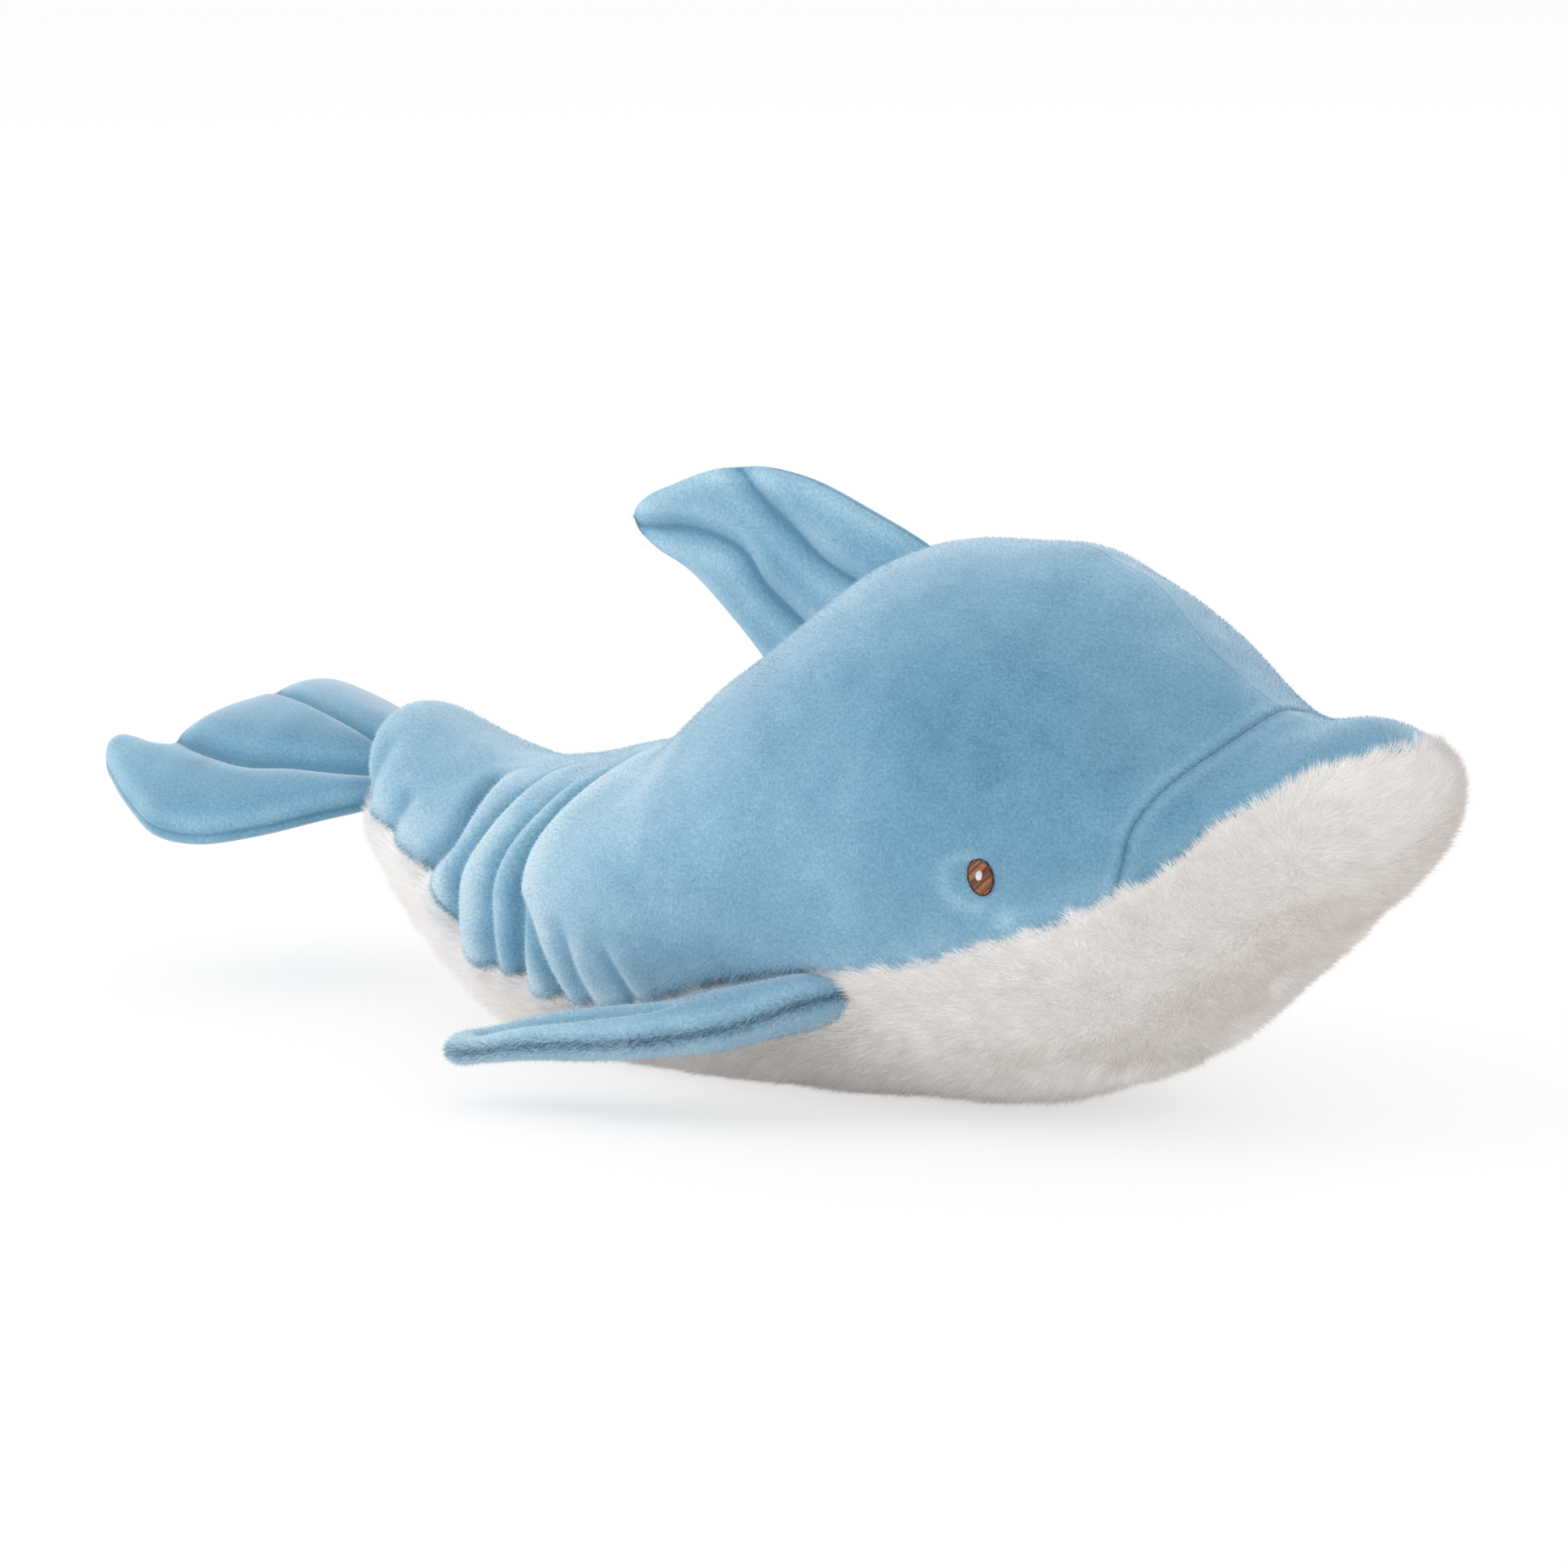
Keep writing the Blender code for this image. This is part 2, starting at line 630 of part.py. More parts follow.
def stitched_oval(name, width, height, raise_by, hand, collection, material):
    """A low dome of satin stitches centred on the eye's place on the cloth."""
    angle = math.radians(EYE_ANGLE)
    centre = body_skin(EYE_AT, angle)
    out = Vector(body_normal(EYE_AT, angle))
    upright = Vector((0, 0, 1)) - out * out.z
    upright.normalize()
    across = upright.cross(out)
    frame = Matrix((across, upright, out)).transposed().to_4x4()
    bm = bmesh.new()
    bmesh.ops.create_uvsphere(bm, u_segments=EYE_SEGMENTS, v_segments=EYE_SEGMENTS // 2, radius=1)
    scale = Matrix.Diagonal((width / 2, height / 2, raise_by, 1))
    turn = Matrix.Rotation(EYE_TILT, 4, "Z")
    place = Matrix.Translation(centre) @ frame @ turn @ scale
    bmesh.ops.transform(bm, matrix=Matrix.Diagonal((1, hand, 1, 1)) @ place, verts=bm.verts)
    bmesh.ops.recalc_face_normals(bm, faces=bm.faces)
    return object_from_bmesh(name, bm, collection, material)


def eye(side, hand, collection, cutters, envelope, threads):
    """The brown oval, and the highlight stitched over it."""
    brown = stitched_oval(f"{side}_eye_embroidery", EYE_WIDTH, EYE_HEIGHT, EYE_RAISE, hand,
                          collection, threads[0])
    white = stitched_oval(f"{side}_eye_highlight", HIGHLIGHT_WIDTH, HIGHLIGHT_WIDTH,
                          HIGHLIGHT_RAISE, hand, collection, threads[1])
    over = stitched_oval(f"{side}_eye_clearance", EYE_WIDTH + 2 * SEAM_GAP,
                         EYE_HEIGHT + 2 * SEAM_GAP, EYE_RAISE + SEAM_GAP, hand, cutters, None)
    hide_as_cutter(over)
    cut_away(brown, envelope)
    cut_away(white, envelope)
    cut_away(white, over)


def hide_as_cutter(cutter):
    cutter.hide_render = True
    cutter.display_type = "WIRE"


def main():
    for old in list(bpy.data.objects):
        bpy.data.objects.remove(old)
    dolphin = bpy.data.collections.new("plush_dolphin")
    cutters = bpy.data.collections.new("cutters")
    for collection in (dolphin, cutters):
        bpy.context.scene.collection.children.link(collection)

    velour = new_material("blue_velour", VELOUR_BLUE, 0.9)
    fur = new_material("white_fur", FUR_WHITE, 0.95)
    stuffing = new_material("polyester_filling", FILLING_WHITE, 0.9)
    brown = new_material("brown_thread", THREAD_BROWN, 0.5)
    white = new_material("white_thread", THREAD_WHITE, 0.5)

    body_filling(dolphin, stuffing)
    side_panel("right_side_panel", 1, dolphin, velour)
    side_panel("left_side_panel", -1, dolphin, velour)
    muzzle_panel("muzzle_panel", dolphin, velour)
    belly_panel("belly_fur_panel", dolphin, fur)

    envelope = body_clearance(cutters)
    hide_as_cutter(envelope)
    fins = dorsal_fin(dolphin, (velour, stuffing)) + fluke(dolphin, (velour, stuffing))
    for side, hand in (("right", 1), ("left", -1)):
        fins += flipper(side, hand, dolphin, (velour, stuffing))
        eye(side, hand, dolphin, cutters, envelope, (brown, white))
    for piece in fins:
        cut_away(piece, envelope)


main()
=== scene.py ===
"""Plush dolphin, dressed for its picture: velour, long white pile, sewn seams, stitched eyes.

Metres, +Z up, the beak towards +X and the dolphin's right side towards -Y. The body follows a
middle line: s is the length along that line from the tail, and v is the angle round it from the
back, positive on the dolphin's right side.
"""

import math

import bmesh
import bpy
import numpy as np
from mathutils import Matrix, Vector


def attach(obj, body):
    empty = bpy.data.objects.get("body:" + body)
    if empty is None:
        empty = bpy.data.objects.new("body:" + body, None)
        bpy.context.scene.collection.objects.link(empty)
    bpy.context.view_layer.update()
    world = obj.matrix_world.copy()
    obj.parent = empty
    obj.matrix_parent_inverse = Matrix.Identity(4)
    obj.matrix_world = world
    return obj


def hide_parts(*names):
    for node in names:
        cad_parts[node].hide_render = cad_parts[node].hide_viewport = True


bl_info = {
    "name": "Plush Dolphin",
    "version": (1, 0, 0),
    "blender": (4, 5, 0),
    "location": "View3D > Sidebar > Plush Dolphin",
    "description": "Builds the velour panels, pile, fins and eyes of a plush dolphin",
    "category": "Add Mesh",
}

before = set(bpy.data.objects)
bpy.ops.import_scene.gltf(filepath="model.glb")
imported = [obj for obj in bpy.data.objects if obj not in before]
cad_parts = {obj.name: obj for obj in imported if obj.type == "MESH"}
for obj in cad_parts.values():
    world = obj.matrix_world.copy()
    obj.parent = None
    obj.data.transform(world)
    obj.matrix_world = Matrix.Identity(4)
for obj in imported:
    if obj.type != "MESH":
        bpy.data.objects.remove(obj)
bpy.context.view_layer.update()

# Body: x, z, half width, reach up, reach down and squareness of the back, from the tail to the beak
BODY_STATIONS = (
    (-0.126, 0.0605, 0.021, 0.0150, 0.019, 2.00),
    (-0.112, 0.0545, 0.025, 0.0166, 0.024, 2.00),
    (-0.092, 0.0455, 0.033, 0.0218, 0.032, 2.00),
    (-0.068, 0.0400, 0.043, 0.0285, 0.042, 2.00),
    (-0.040, 0.0410, 0.053, 0.0325, 0.049, 2.00),
    (-0.010, 0.0480, 0.060, 0.0345, 0.056, 1.95),
    (0.022, 0.0570, 0.064, 0.0505, 0.062, 1.90),
    (0.055, 0.0635, 0.066, 0.0680, 0.064, 1.90),
    (0.085, 0.0670, 0.066, 0.0695, 0.064, 1.74),
    (0.113, 0.0710, 0.061, 0.0656, 0.057, 1.50),
    (0.126, 0.0741, 0.056, 0.0588, 0.051, 1.42),
    (0.138, 0.0770, 0.050, 0.0442, 0.044, 1.36),
    (0.160, 0.0830, 0.039, 0.0196, 0.034, 1.42),
    (0.180, 0.0860, 0.031, 0.0180, 0.024, 1.75),
    (0.196, 0.0870, 0.027, 0.0155, 0.019, 2.00),
)
BELLY_SQUARENESS = 2.1
TAIL_ROUNDING = 0.012
TAIL_TIP = 1e-6
TAIL_LEAN = 0.65
TAIL_LEANING = 0.035
BEAK_ROUNDING = 0.022

# Seam between the blue panels and the white belly: s and the angle from the back in degrees
BORDER = (
    (0.000, 112),
    (0.028, 101),
    (0.046, 100),
    (0.060, 115),
    (0.079, 117),
    (0.092, 121),
    (0.150, 116),
    (0.204, 113.5),
    (0.242, 110),
    (0.270, 107.5),
    (0.288, 100.5),
    (0.306, 79),
    (0.317, 54),
)
BORDER_TOP = 0.325
MUZZLE_TOP = 0.2920
MUZZLE_FOOT = 0.271
MUZZLE_BOW = 2.1
MUZZLE_END_GAP = 0.0004
BEAK_WRAP = 0.022

# Seams, each as how deep and how wide the cloth is drawn in, and how each one fades in
BELLY_SEAM = (0.0016, 0.0020)
BACK_SEAM = (0.0003, 0.0006)
MUZZLE_SEAM = (0.0003, 0.0006)
SEAM_SWELL = 0.35
SEAM_SWELL_WIDTH = 4
PAST_FLIPPER = (0.17, 0.04)
BELLY_SEAM_EASED = 0.6
BACK_SEAM_FROM = (0.20, 0.05)
UNEVEN = ((0.0006, 0.030, 3), (0.0003, 0.012, 5))

# White pile's cloth: how far it lies under the blue, and over what width it gets there
FUR_LIFT = -0.0008
FUR_RAMP = 0.006
# White pile's roots: their distance below the belly seam, and where along the body it changes
FRINGE_AT_TAIL = 0.0012
FRINGE = -0.0002
FRINGE_FROM = (0.16, 0.05)
FRINGE_AT_BEAK = 0.0018
FRINGE_AT_BEAK_FROM = (0.262, 0.020)

# Pleats at the tail: the crest as (s, angle from the back in degrees), its height and the depth of
# the valley on its tail side, and how wide it is
PLEATS = (
    (((0.046, 24), (0.051, 48), (0.050, 70), (0.046, 92), (0.043, 104)), 0.0018, 0.0036, 0.0042),
    (((0.075, 22), (0.068, 42), (0.062, 70), (0.060, 97), (0.058, 114)), 0.0018, 0.0040, 0.0040),
    (((0.088, 36), (0.082, 58), (0.076, 86), (0.071, 114)), 0.0010, 0.0028, 0.0030),
    (((0.112, 20), (0.101, 48), (0.092, 70), (0.087, 92), (0.083, 116)), 0.0022, 0.0050, 0.0046),
    (((0.0935, 90), (0.0945, 98), (0.096, 118)), 0.0006, 0.0044, 0.0030),
    (((0.107, 98), (0.1055, 106), (0.1045, 121)), 0.0012, 0.0022, 0.0030),
    (((0.119, 104), (0.1195, 110), (0.1205, 121)), 0.0010, 0.0018, 0.0030),
    (((0.027, 64), (0.025, 84), (0.022, 104)), 0.0008, 0.0020, 0.0034),
    (((0.013, 40), (0.012, 70), (0.011, 100)), 0.0006, 0.0012, 0.0024),
)
PLEAT_FADE = 16
PLEAT_WANDER = 0.0012
PLEAT_WANDER_LENGTH = 9
PLEAT_WANDER_SHIFT = 2.1
CREST_SHAPE = (1.0, 1.3)
VALLEY_SHAPE = (-0.7, 1.0)
VALLEY_SHARE = 0.85

# Collar of cloth round the tail's end
CUFF_AT = 0.020
CUFF_RISE = 0.0014
CUFF_CREST = 0.0046
CUFF_CREST_AT = 0.008
CUFF_CREST_SPREAD = 0.9
CUFF_WIDTH = 0.011

# How pale the body's velour is drawn: an even share, and what each place adds to it. Part of it is
# the brushing of the nap, and part is painted light and shade: a painted sheen along the back,
# painted shade on the cheek, painted light on the lower flank at the tail, and painted highlights
# and shade on the pleats.
EVEN_PALE = 0.44
BACK_PAINTED_SHEEN = (0.26, 40)
CHEEK_PAINTED_SHADE = (0.24, 66, 52)
FLANK_PAINTED_LIGHT = (0.22, 78, 42)
PLEAT_PAINTED_SHADING = 190
PLEAT_PAINTED_SHADING_RANGE = (-0.0028, 0.0020)
BELLY_SEAM_PALE = (0.12, 0.005, 0.004)
MUZZLE_SEAM_PALE = (0.16, 0.0024, 0.0014)
MUZZLE_SEAM_DARK = (0.14, 0.0006)
EYE_RING_PALE = (0.26, 0.0072, 0.0022)
EYE_TRAIL_PALE = 0.22
BODY_PATCHES = ((0.12, 0.026, 71), (0.09, 0.009, 72), (0.05, 0.0035, 73))

# How the cloth is cut and how fine its grid is, as rows and columns
CLOTH_THICKNESS = 0.0016
CLOTH_OVER_FLOOR = 0.0002
FUR_CLOTH_SINK = 0.0004
NAP_ROOTS = -0.0001
FUR_ROOTS = -0.0006
SIDE_GRID = (370, 120)
MUZZLE_GRID = (90, 140)
BELLY_GRID = (150, 90)
FUR_GRID = (220, 120)
DORSAL_GRID = (110, 90)
FLUKE_GRID = (80, 80)
FLIPPER_GRID = (100, 60)

# Dorsal fin: its anchor along the back, and its edges from there to the tip as (forward, up)
DORSAL_AT = 0.167
DORSAL_FRONT = (
    (0.0395, -0.001),
    (0.0355, 0.008),
    (0.0245, 0.0145),
    (0.0045, 0.0225),
    (-0.0165, 0.029),
    (-0.0385, 0.03),
    (-0.0585, 0.0235),
    (-0.0665, 0.0200),
    (-0.0708, 0.0165),
    (-0.0717, 0.0135),
)
DORSAL_REAR = (
    (-0.0145, -0.035),
    (-0.0185, -0.03),
    (-0.0275, -0.019),
    (-0.0395, -0.008),
    (-0.0530, 0.0020),
    (-0.0660, 0.0075),
    (-0.0705, 0.0105),
    (-0.0717, 0.0135),
)
DORSAL_HALF = 0.0065
DORSAL_CHANNELS = (
    ((0.0, 0.34), (0.23, 0.35), (0.34, 0.37), (0.46, 0.32), (0.56, 0.25), (0.70, 0.0)),
    (
        (0.0, 0.70), (0.28, 0.70), (0.45, 0.69), (0.56, 0.61),
        (0.68, 0.62), (0.80, 0.64), (0.97, 0.78),
    ),
)

# Fluke: its edges from the middle to a tip, as (backward, sideways) from the tail's end
FLUKE_FRONT = (
    (-0.002, 0.0),
    (-0.0005, 0.010),
    (0.0065, 0.024),
    (0.017, 0.038),
    (0.030, 0.0475),
    (0.046, 0.0511),
    (0.061, 0.0487),
    (0.0740, 0.0452),
    (0.0832, 0.0416),
    (0.0872, 0.0380),
)
FLUKE_REAR = (
    (0.074, 0.0),
    (0.0742, 0.010),
    (0.0738, 0.019),
    (0.0730, 0.0245),
    (0.0715, 0.0285),
    (0.0750, 0.0318),
    (0.0810, 0.0333),
    (0.0860, 0.0350),
    (0.0872, 0.0380),
)
# The far lobe is narrower and droops more
FLUKE_FAR_FRONT = (
    (-0.002, 0.0),
    (-0.0005, 0.010),
    (0.009, 0.019),
    (0.022, 0.0285),
    (0.038, 0.0350),
    (0.055, 0.0378),
    (0.0695, 0.0373),
    (0.0790, 0.0358),
    (0.0830, 0.0332),
)
FLUKE_FAR_REAR = (
    (0.074, 0.0),
    (0.0785, 0.010),
    (0.0820, 0.020),
    (0.0842, 0.0265),
    (0.0845, 0.0308),
    (0.0830, 0.0332),
)
FLUKE_HALF = 0.0074
# Stitched lines of each fin, as shares of the way to its tip and from its front to its rear edge
FLUKE_NEAR_CHANNEL = (
    (0.0, 0.10), (0.11, 0.23), (0.20, 0.35), (0.28, 0.43), (0.37, 0.59), (0.49, 0.84), (0.56, 1.0),
)
FLUKE_FAR_CHANNEL = (
    (0.12, 0.0), (0.08, 0.33), (0.06, 0.48), (0.08, 0.66), (0.15, 0.84), (0.24, 1.0),
)
FLUKE_DROOP = 0.0130
FLUKE_FAR_DROOP = 0.023
FLUKE_TURN = math.radians(12)
FLUKE_ROLL = math.radians(8)
FLUKE_RISE = math.radians(10)
FLUKE_SEAT = (0.006, -0.003, -0.0066)

# Flipper: where it is sewn into the belly seam, and its edges as (forward, outward, up) from there
FLIPPER_AT = 0.184
FLIPPER_FRONT = (
    (0.010, -0.011, -0.0022),
    (0.0115, 0.002, -0.0024),
    (0.006, 0.008, -0.0042),
    (-0.005, 0.016, -0.0092),
    (-0.023, 0.026, -0.0137),
    (-0.037, 0.031, -0.0160),
    (-0.059, 0.035, -0.0188),
    (-0.072, 0.0372, -0.0215),
    (-0.0795, 0.0372, -0.0224),
    (-0.0825, 0.0335, -0.0230),
)
FLIPPER_REAR = (
    (-0.02, -0.013, -0.0102),
    (-0.022, -0.002, -0.0112),
    (-0.039, 0.007, -0.0132),
    (-0.057, 0.014, -0.0162),
    (-0.072, 0.0220, -0.0195),
    (-0.0800, 0.0272, -0.0216),
    (-0.0825, 0.0335, -0.0230),
)
FLIPPER_HALF = 0.0070
FLIPPER_CHANNELS = (((0.42, 0.55), (0.62, 0.5), (0.86, 0.5)),)
FLIPPER_BLUNT = 9

# Fins: the channels' depth as a share of the thickness, their seams, and how full the faces are
CHANNEL_DEPTH = 0.80
CHANNEL_WIDTH = 0.0050
CHANNEL_POWER = 1.15
RIM_SEAM_DEPTH = 0.0010
RIM_SEAM_WIDTH = 0.0008
RIM_SEAM_FULL_AT = 0.012
CROWN_ACROSS = 2.6
CROWN_ALONG = 4
STITCH_WIDTH = 0.0013
STITCHED_ABOVE = 0.55
STUFFING_PRESSURE = 3.0
STUFFING_CAP = 0.0022
STUFFING_FRAMES = 14

# How pale a fin's velour is drawn: what its tip, its channels, its rim and its patches add. The
# tip's share leaves the root darker, a painted shade where the fin meets the body; the channels get
# painted highlights on their ridges and painted shade in their valleys, and the band inside the
# rim a painted sheen.
FIN_TIP_PAINTED_LIGHT = 0.30
CHANNEL_PAINTED_HIGHLIGHT = (0.16, 0.0048, 0.0025)
CHANNEL_PAINTED_SHADE = (0.16, 0.0028)
STITCH_DARK = (0.40, 0.0008)
RIM_PAINTED_SHEEN = (0.22, 0.0035, 0.0025)
RIM_DARK = (0.20, 0.0006)
FIN_PATCHES = ((0.13, 0.020, 0), (0.09, 0.008, 1))
DORSAL_PALE = 0.36
FLUKE_PALE = 0.08
FLIPPER_PALE = 0.34

# Eye: a satin-stitched oval with a highlight
EYE_AT = 0.243
EYE_ANGLE = 93
EYE_WIDTH = 0.0064
EYE_HEIGHT = 0.0088
EYE_RAISE = 0.0009
EYE_TILT = math.radians(12)
EYE_HOLLOW = 0.0016
EYE_HOLLOW_WIDTH = 0.0078
HIGHLIGHT_WIDTH = 0.0020
SATIN_ROWS = 25
SATIN_LEAN = math.radians(24)
OUTLINE_STITCHES = 34
HIGHLIGHT_ROWS = 6
THREAD_RADIUS = 0.00021
HIGHLIGHT_THREAD_RADIUS = 0.00022

# Camera, as the photo was taken
CAMERA_AZIMUTH = math.radians(40)
CAMERA_ELEVATION = math.radians(10)
CAMERA_DISTANCE = 2.0
CAMERA_LENS = 186
CAMERA_TARGET = (0.0, 0.0, 0.0683)

# Lamps: name, place, side of the square and power in watts, and the point that they face
LAMPS = (
    ("key_light", (-1.3, -1.4, 1.7), 1.6, 11),
    ("fill_light", (1.8, -0.8, 1.3), 1.6, 3),
    ("low_light", (-1.3, -2.0, 0.4), 1.6, 9),
    ("tail_light", (-1.9, -0.8, 0.22), 1.2, 5),
    ("back_light", (-0.4, 1.8, 1.8), 1.6, 7),
)
LAMPS_FACE = (0, 0, 0.06)
WORLD_STRENGTH = 0.95
FLOOR_REACH = 8
FLOOR_GLOW = 0.62

# Shades of the velour: the pale ones also carry painted sheen, painted highlights and painted
# light.
VELOUR_SHADES = (
    (0.100, 0.240, 0.355),
    (0.138, 0.300, 0.425),
    (0.185, 0.360, 0.490),
    (0.255, 0.440, 0.565),
    (0.360, 0.535, 0.645),
    (0.500, 0.640, 0.720),
)
VELOUR_SHEEN = (0.86, 0.94, 1.0)
VELOUR_SHEEN_ROUGHNESS = 0.38
# Shades of the white pile: the palest one is there mostly for painted light on the tail's pile.
FUR_SHADES = (
    (0.56, 0.522, 0.500),
    (0.65, 0.612, 0.588),
    (0.72, 0.685, 0.660),
    (0.79, 0.760, 0.738),
    (0.93, 0.905, 0.890),
)
THREAD_SHADES = (
    ("thread_outline", (0.050, 0.022, 0.014)),
    ("thread_brown", (0.165, 0.062, 0.032)),
    ("thread_copper", (0.310, 0.125, 0.062)),
    ("thread_amber", (0.470, 0.215, 0.110)),
    ("thread_white", (0.90, 0.89, 0.90)),
)

# Nap and pile: blade widths, how steeply they stand, and how their paleness spreads
NAP_WIDTH = 0.00014
NAP_STAND = 0.62
NAP_SPREAD = 0.09
FUR_WIDTH = 0.00023
FUR_STAND = 0.48
FUR_VALUE = 0.58
FUR_SPREAD = 0.13
FUR_EDGE = 0.0040
FUR_MOST = 160000
BEAK_TIP_X = (0.165, 0.025)
# White pile's pieces: name, start and end as shares of the grid's rows, and seed
FUR_STRETCHES = (
    ("tail_fur", 0, 0.34, 41),
    ("belly_fur", 0.34, 0.66, 43),
    ("beak_fur", 0.66, 1.0, 47),
)


def curve_through(knots, values, at):
    """The values at some knots, carried smoothly to the places between them."""
    knots = np.asarray(knots, float)
    values = np.asarray(values, float)
    slopes = np.gradient(values, knots, axis=0)
    at = np.clip(np.asarray(at, float), knots[0], knots[-1])
    i = np.clip(np.searchsorted(knots, at, side="right") - 1, 0, len(knots) - 2)
    step = knots[i + 1] - knots[i]
    t = (at - knots[i]) / step
    if values.ndim > 1:
        t = t[..., None]
        step = step[..., None]
    start = (2 * t**3 - 3 * t**2 + 1) * values[i] + (t**3 - 2 * t**2 + t) * step * slopes[i]
    end = (3 * t**2 - 2 * t**3) * values[i + 1] + (t**3 - t**2) * step * slopes[i + 1]
    return start + end


def path_through(points, at):
    """Points along a smooth line, with at from 0 to 1 by its length."""
    points = np.asarray(points, float)
    lengths = np.concatenate([[0], np.cumsum(np.linalg.norm(np.diff(points, axis=0), axis=1))])
    return curve_through(lengths / lengths[-1], points, at)


def smooth_step(x):
    """A soft step from 0 to 1."""
    x = np.clip(x, 0, 1)
    return x * x * (3 - 2 * x)


def rising(value, start, reach):
    """0 up to a start, and 1 from a reach beyond it."""
    return smooth_step((value - start) / reach)


def bell(distance, middle, width):
    """1 at the middle, and fading to 0 on both sides of it."""
    return np.exp(-(((distance - middle) / width) ** 2))


def unit(vectors):
    return vectors / np.maximum(np.linalg.norm(vectors, axis=-1, keepdims=True), 1e-12)


def soft_noise(points, size, seed):
    """Smooth noise from -1 to 1 with features of one size, the same on each run."""
    scaled = np.asarray(points, float) / size
    base = np.floor(scaled).astype(np.int64)
    t = smooth_step(scaled - base)
    total = np.zeros(scaled.shape[:-1])
    for corner in np.ndindex(2, 2, 2):
        cell = base + np.array(corner)
        x, y, z = np.moveaxis(cell, -1, 0)
        key = x * 73856093 ^ y * 19349663 ^ z * 83492791 ^ seed * 9176531
        key = ((key ^ (key >> 13)) * 1274126177) & 0x7FFFFFFF
        value = ((key ^ (key >> 15)) & 0xFFFF) / 32767.5 - 1
        share = np.where(np.array(corner) == 1, t, 1 - t).prod(axis=-1)
        total = total + value * share
    return total


def noises(points, layers, seed=0):
    """Several layers of soft noise, each given by its height, size and seed."""
    return sum(height * soft_noise(points, size, seed + own) for height, size, own in layers)


STATIONS = np.array(BODY_STATIONS)
STATION_AT = np.concatenate([[0], np.cumsum(np.hypot(*np.diff(STATIONS[:, :2], axis=0).T))])
BODY_LENGTH = STATION_AT[-1]


def middle_line(s):
    """The middle line's point and direction in the XZ plane."""
    reach = 0.001
    here = curve_through(STATION_AT, STATIONS[:, :2], s)
    ahead = curve_through(STATION_AT, STATIONS[:, :2], np.minimum(s + reach, BODY_LENGTH))
    behind = curve_through(STATION_AT, STATIONS[:, :2], np.maximum(s - reach, 0))
    return here, unit(ahead - behind)


def half_width(s):
    """Half the body's width."""
    return curve_through(STATION_AT, STATIONS[:, 2], s)


def rounded_end(along, rounding):
    """How far a section has grown near a rounded end, from 0 to 1."""
    return np.sqrt(1 - np.clip(1 - along / rounding, 0, 1) ** 2)


def body_base(s, v):
    """The body's surface before its pleats, its pile and the floor."""
    s, v = np.broadcast_arrays(np.asarray(s, float), np.asarray(v, float))
    here, way = middle_line(s)
    sizes = curve_through(STATION_AT, STATIONS[:, 2:], s)
    end = rounded_end(s, TAIL_ROUNDING) * rounded_end(BODY_LENGTH - s, BEAK_ROUNDING)
    over = np.cos(v) > 0
    power = 2 / np.where(over, sizes[..., 3], BELLY_SQUARENESS)
    up = np.where(over, sizes[..., 1], sizes[..., 2]) * end
    rise = up * np.sign(np.cos(v)) * np.abs(np.cos(v)) ** power
    side = sizes[..., 0] * end * np.sign(np.sin(v)) * np.abs(np.sin(v)) ** power
    lean = TAIL_LEAN * smooth_step(1 - s / TAIL_LEANING) * np.maximum(rise, 0)
    x = here[..., 0] - way[..., 1] * rise - lean
    z = here[..., 1] + way[..., 0] * rise
    return np.stack([x, -side, z], -1)


def body_normal(s, v):
    """Outward directions of the body's surface: along the middle line at its two ends."""
    s, v = np.broadcast_arrays(np.asarray(s, float), np.asarray(v, float))
    reach = 0.0005
    turn = 0.01
    inside = np.clip(s, reach, BODY_LENGTH - reach)
    along = body_base(inside + reach, v) - body_base(inside - reach, v)
    round_it = body_base(inside, v + turn) - body_base(inside, v - turn)
    out = unit(np.cross(round_it, along))
    way = middle_line(s)[1]
    way = np.stack([way[..., 0], 0 * s, way[..., 1]], -1)
    out = np.where((s <= reach)[..., None], -way, out)
    return np.where((s >= BODY_LENGTH - reach)[..., None], way, out)


def border_angle(s):
    """The angle of the belly seam from the back: it meets the back at BORDER_TOP, on the beak."""
    knots, degrees = np.array(BORDER).T
    last = knots[-1]
    angle = np.radians(curve_through(knots, degrees, s))
    left = np.clip((BORDER_TOP - s) / (BORDER_TOP - last), 0, 1)
    return np.where(s > last, angle * np.sqrt(left), angle)


def section_angle(s, v):
    """The angle from the back at which a place lies in its section, from 0 to pi."""
    over = np.cos(v) > 0
    power = 2 / np.where(over, curve_through(STATION_AT, STATIONS[:, 5], s), BELLY_SQUARENESS)
    return np.arctan2(np.abs(np.sin(v)) ** power, np.sign(np.cos(v)) * np.abs(np.cos(v)) ** power)


def muzzle_seam(s, v):
    """Where the muzzle's seam lies along the body, from the back down to the belly seam."""
    foot = border_angle(np.array(MUZZLE_FOOT))
    share = np.clip(section_angle(s, v) / foot, 0, 1)
    return MUZZLE_TOP - (MUZZLE_TOP - MUZZLE_FOOT) * share**MUZZLE_BOW


def folded_angle(v):
    """The angle from the back on either side, from 0 to pi."""
    return np.abs((np.asarray(v, float) + math.pi) % (2 * math.pi) - math.pi)


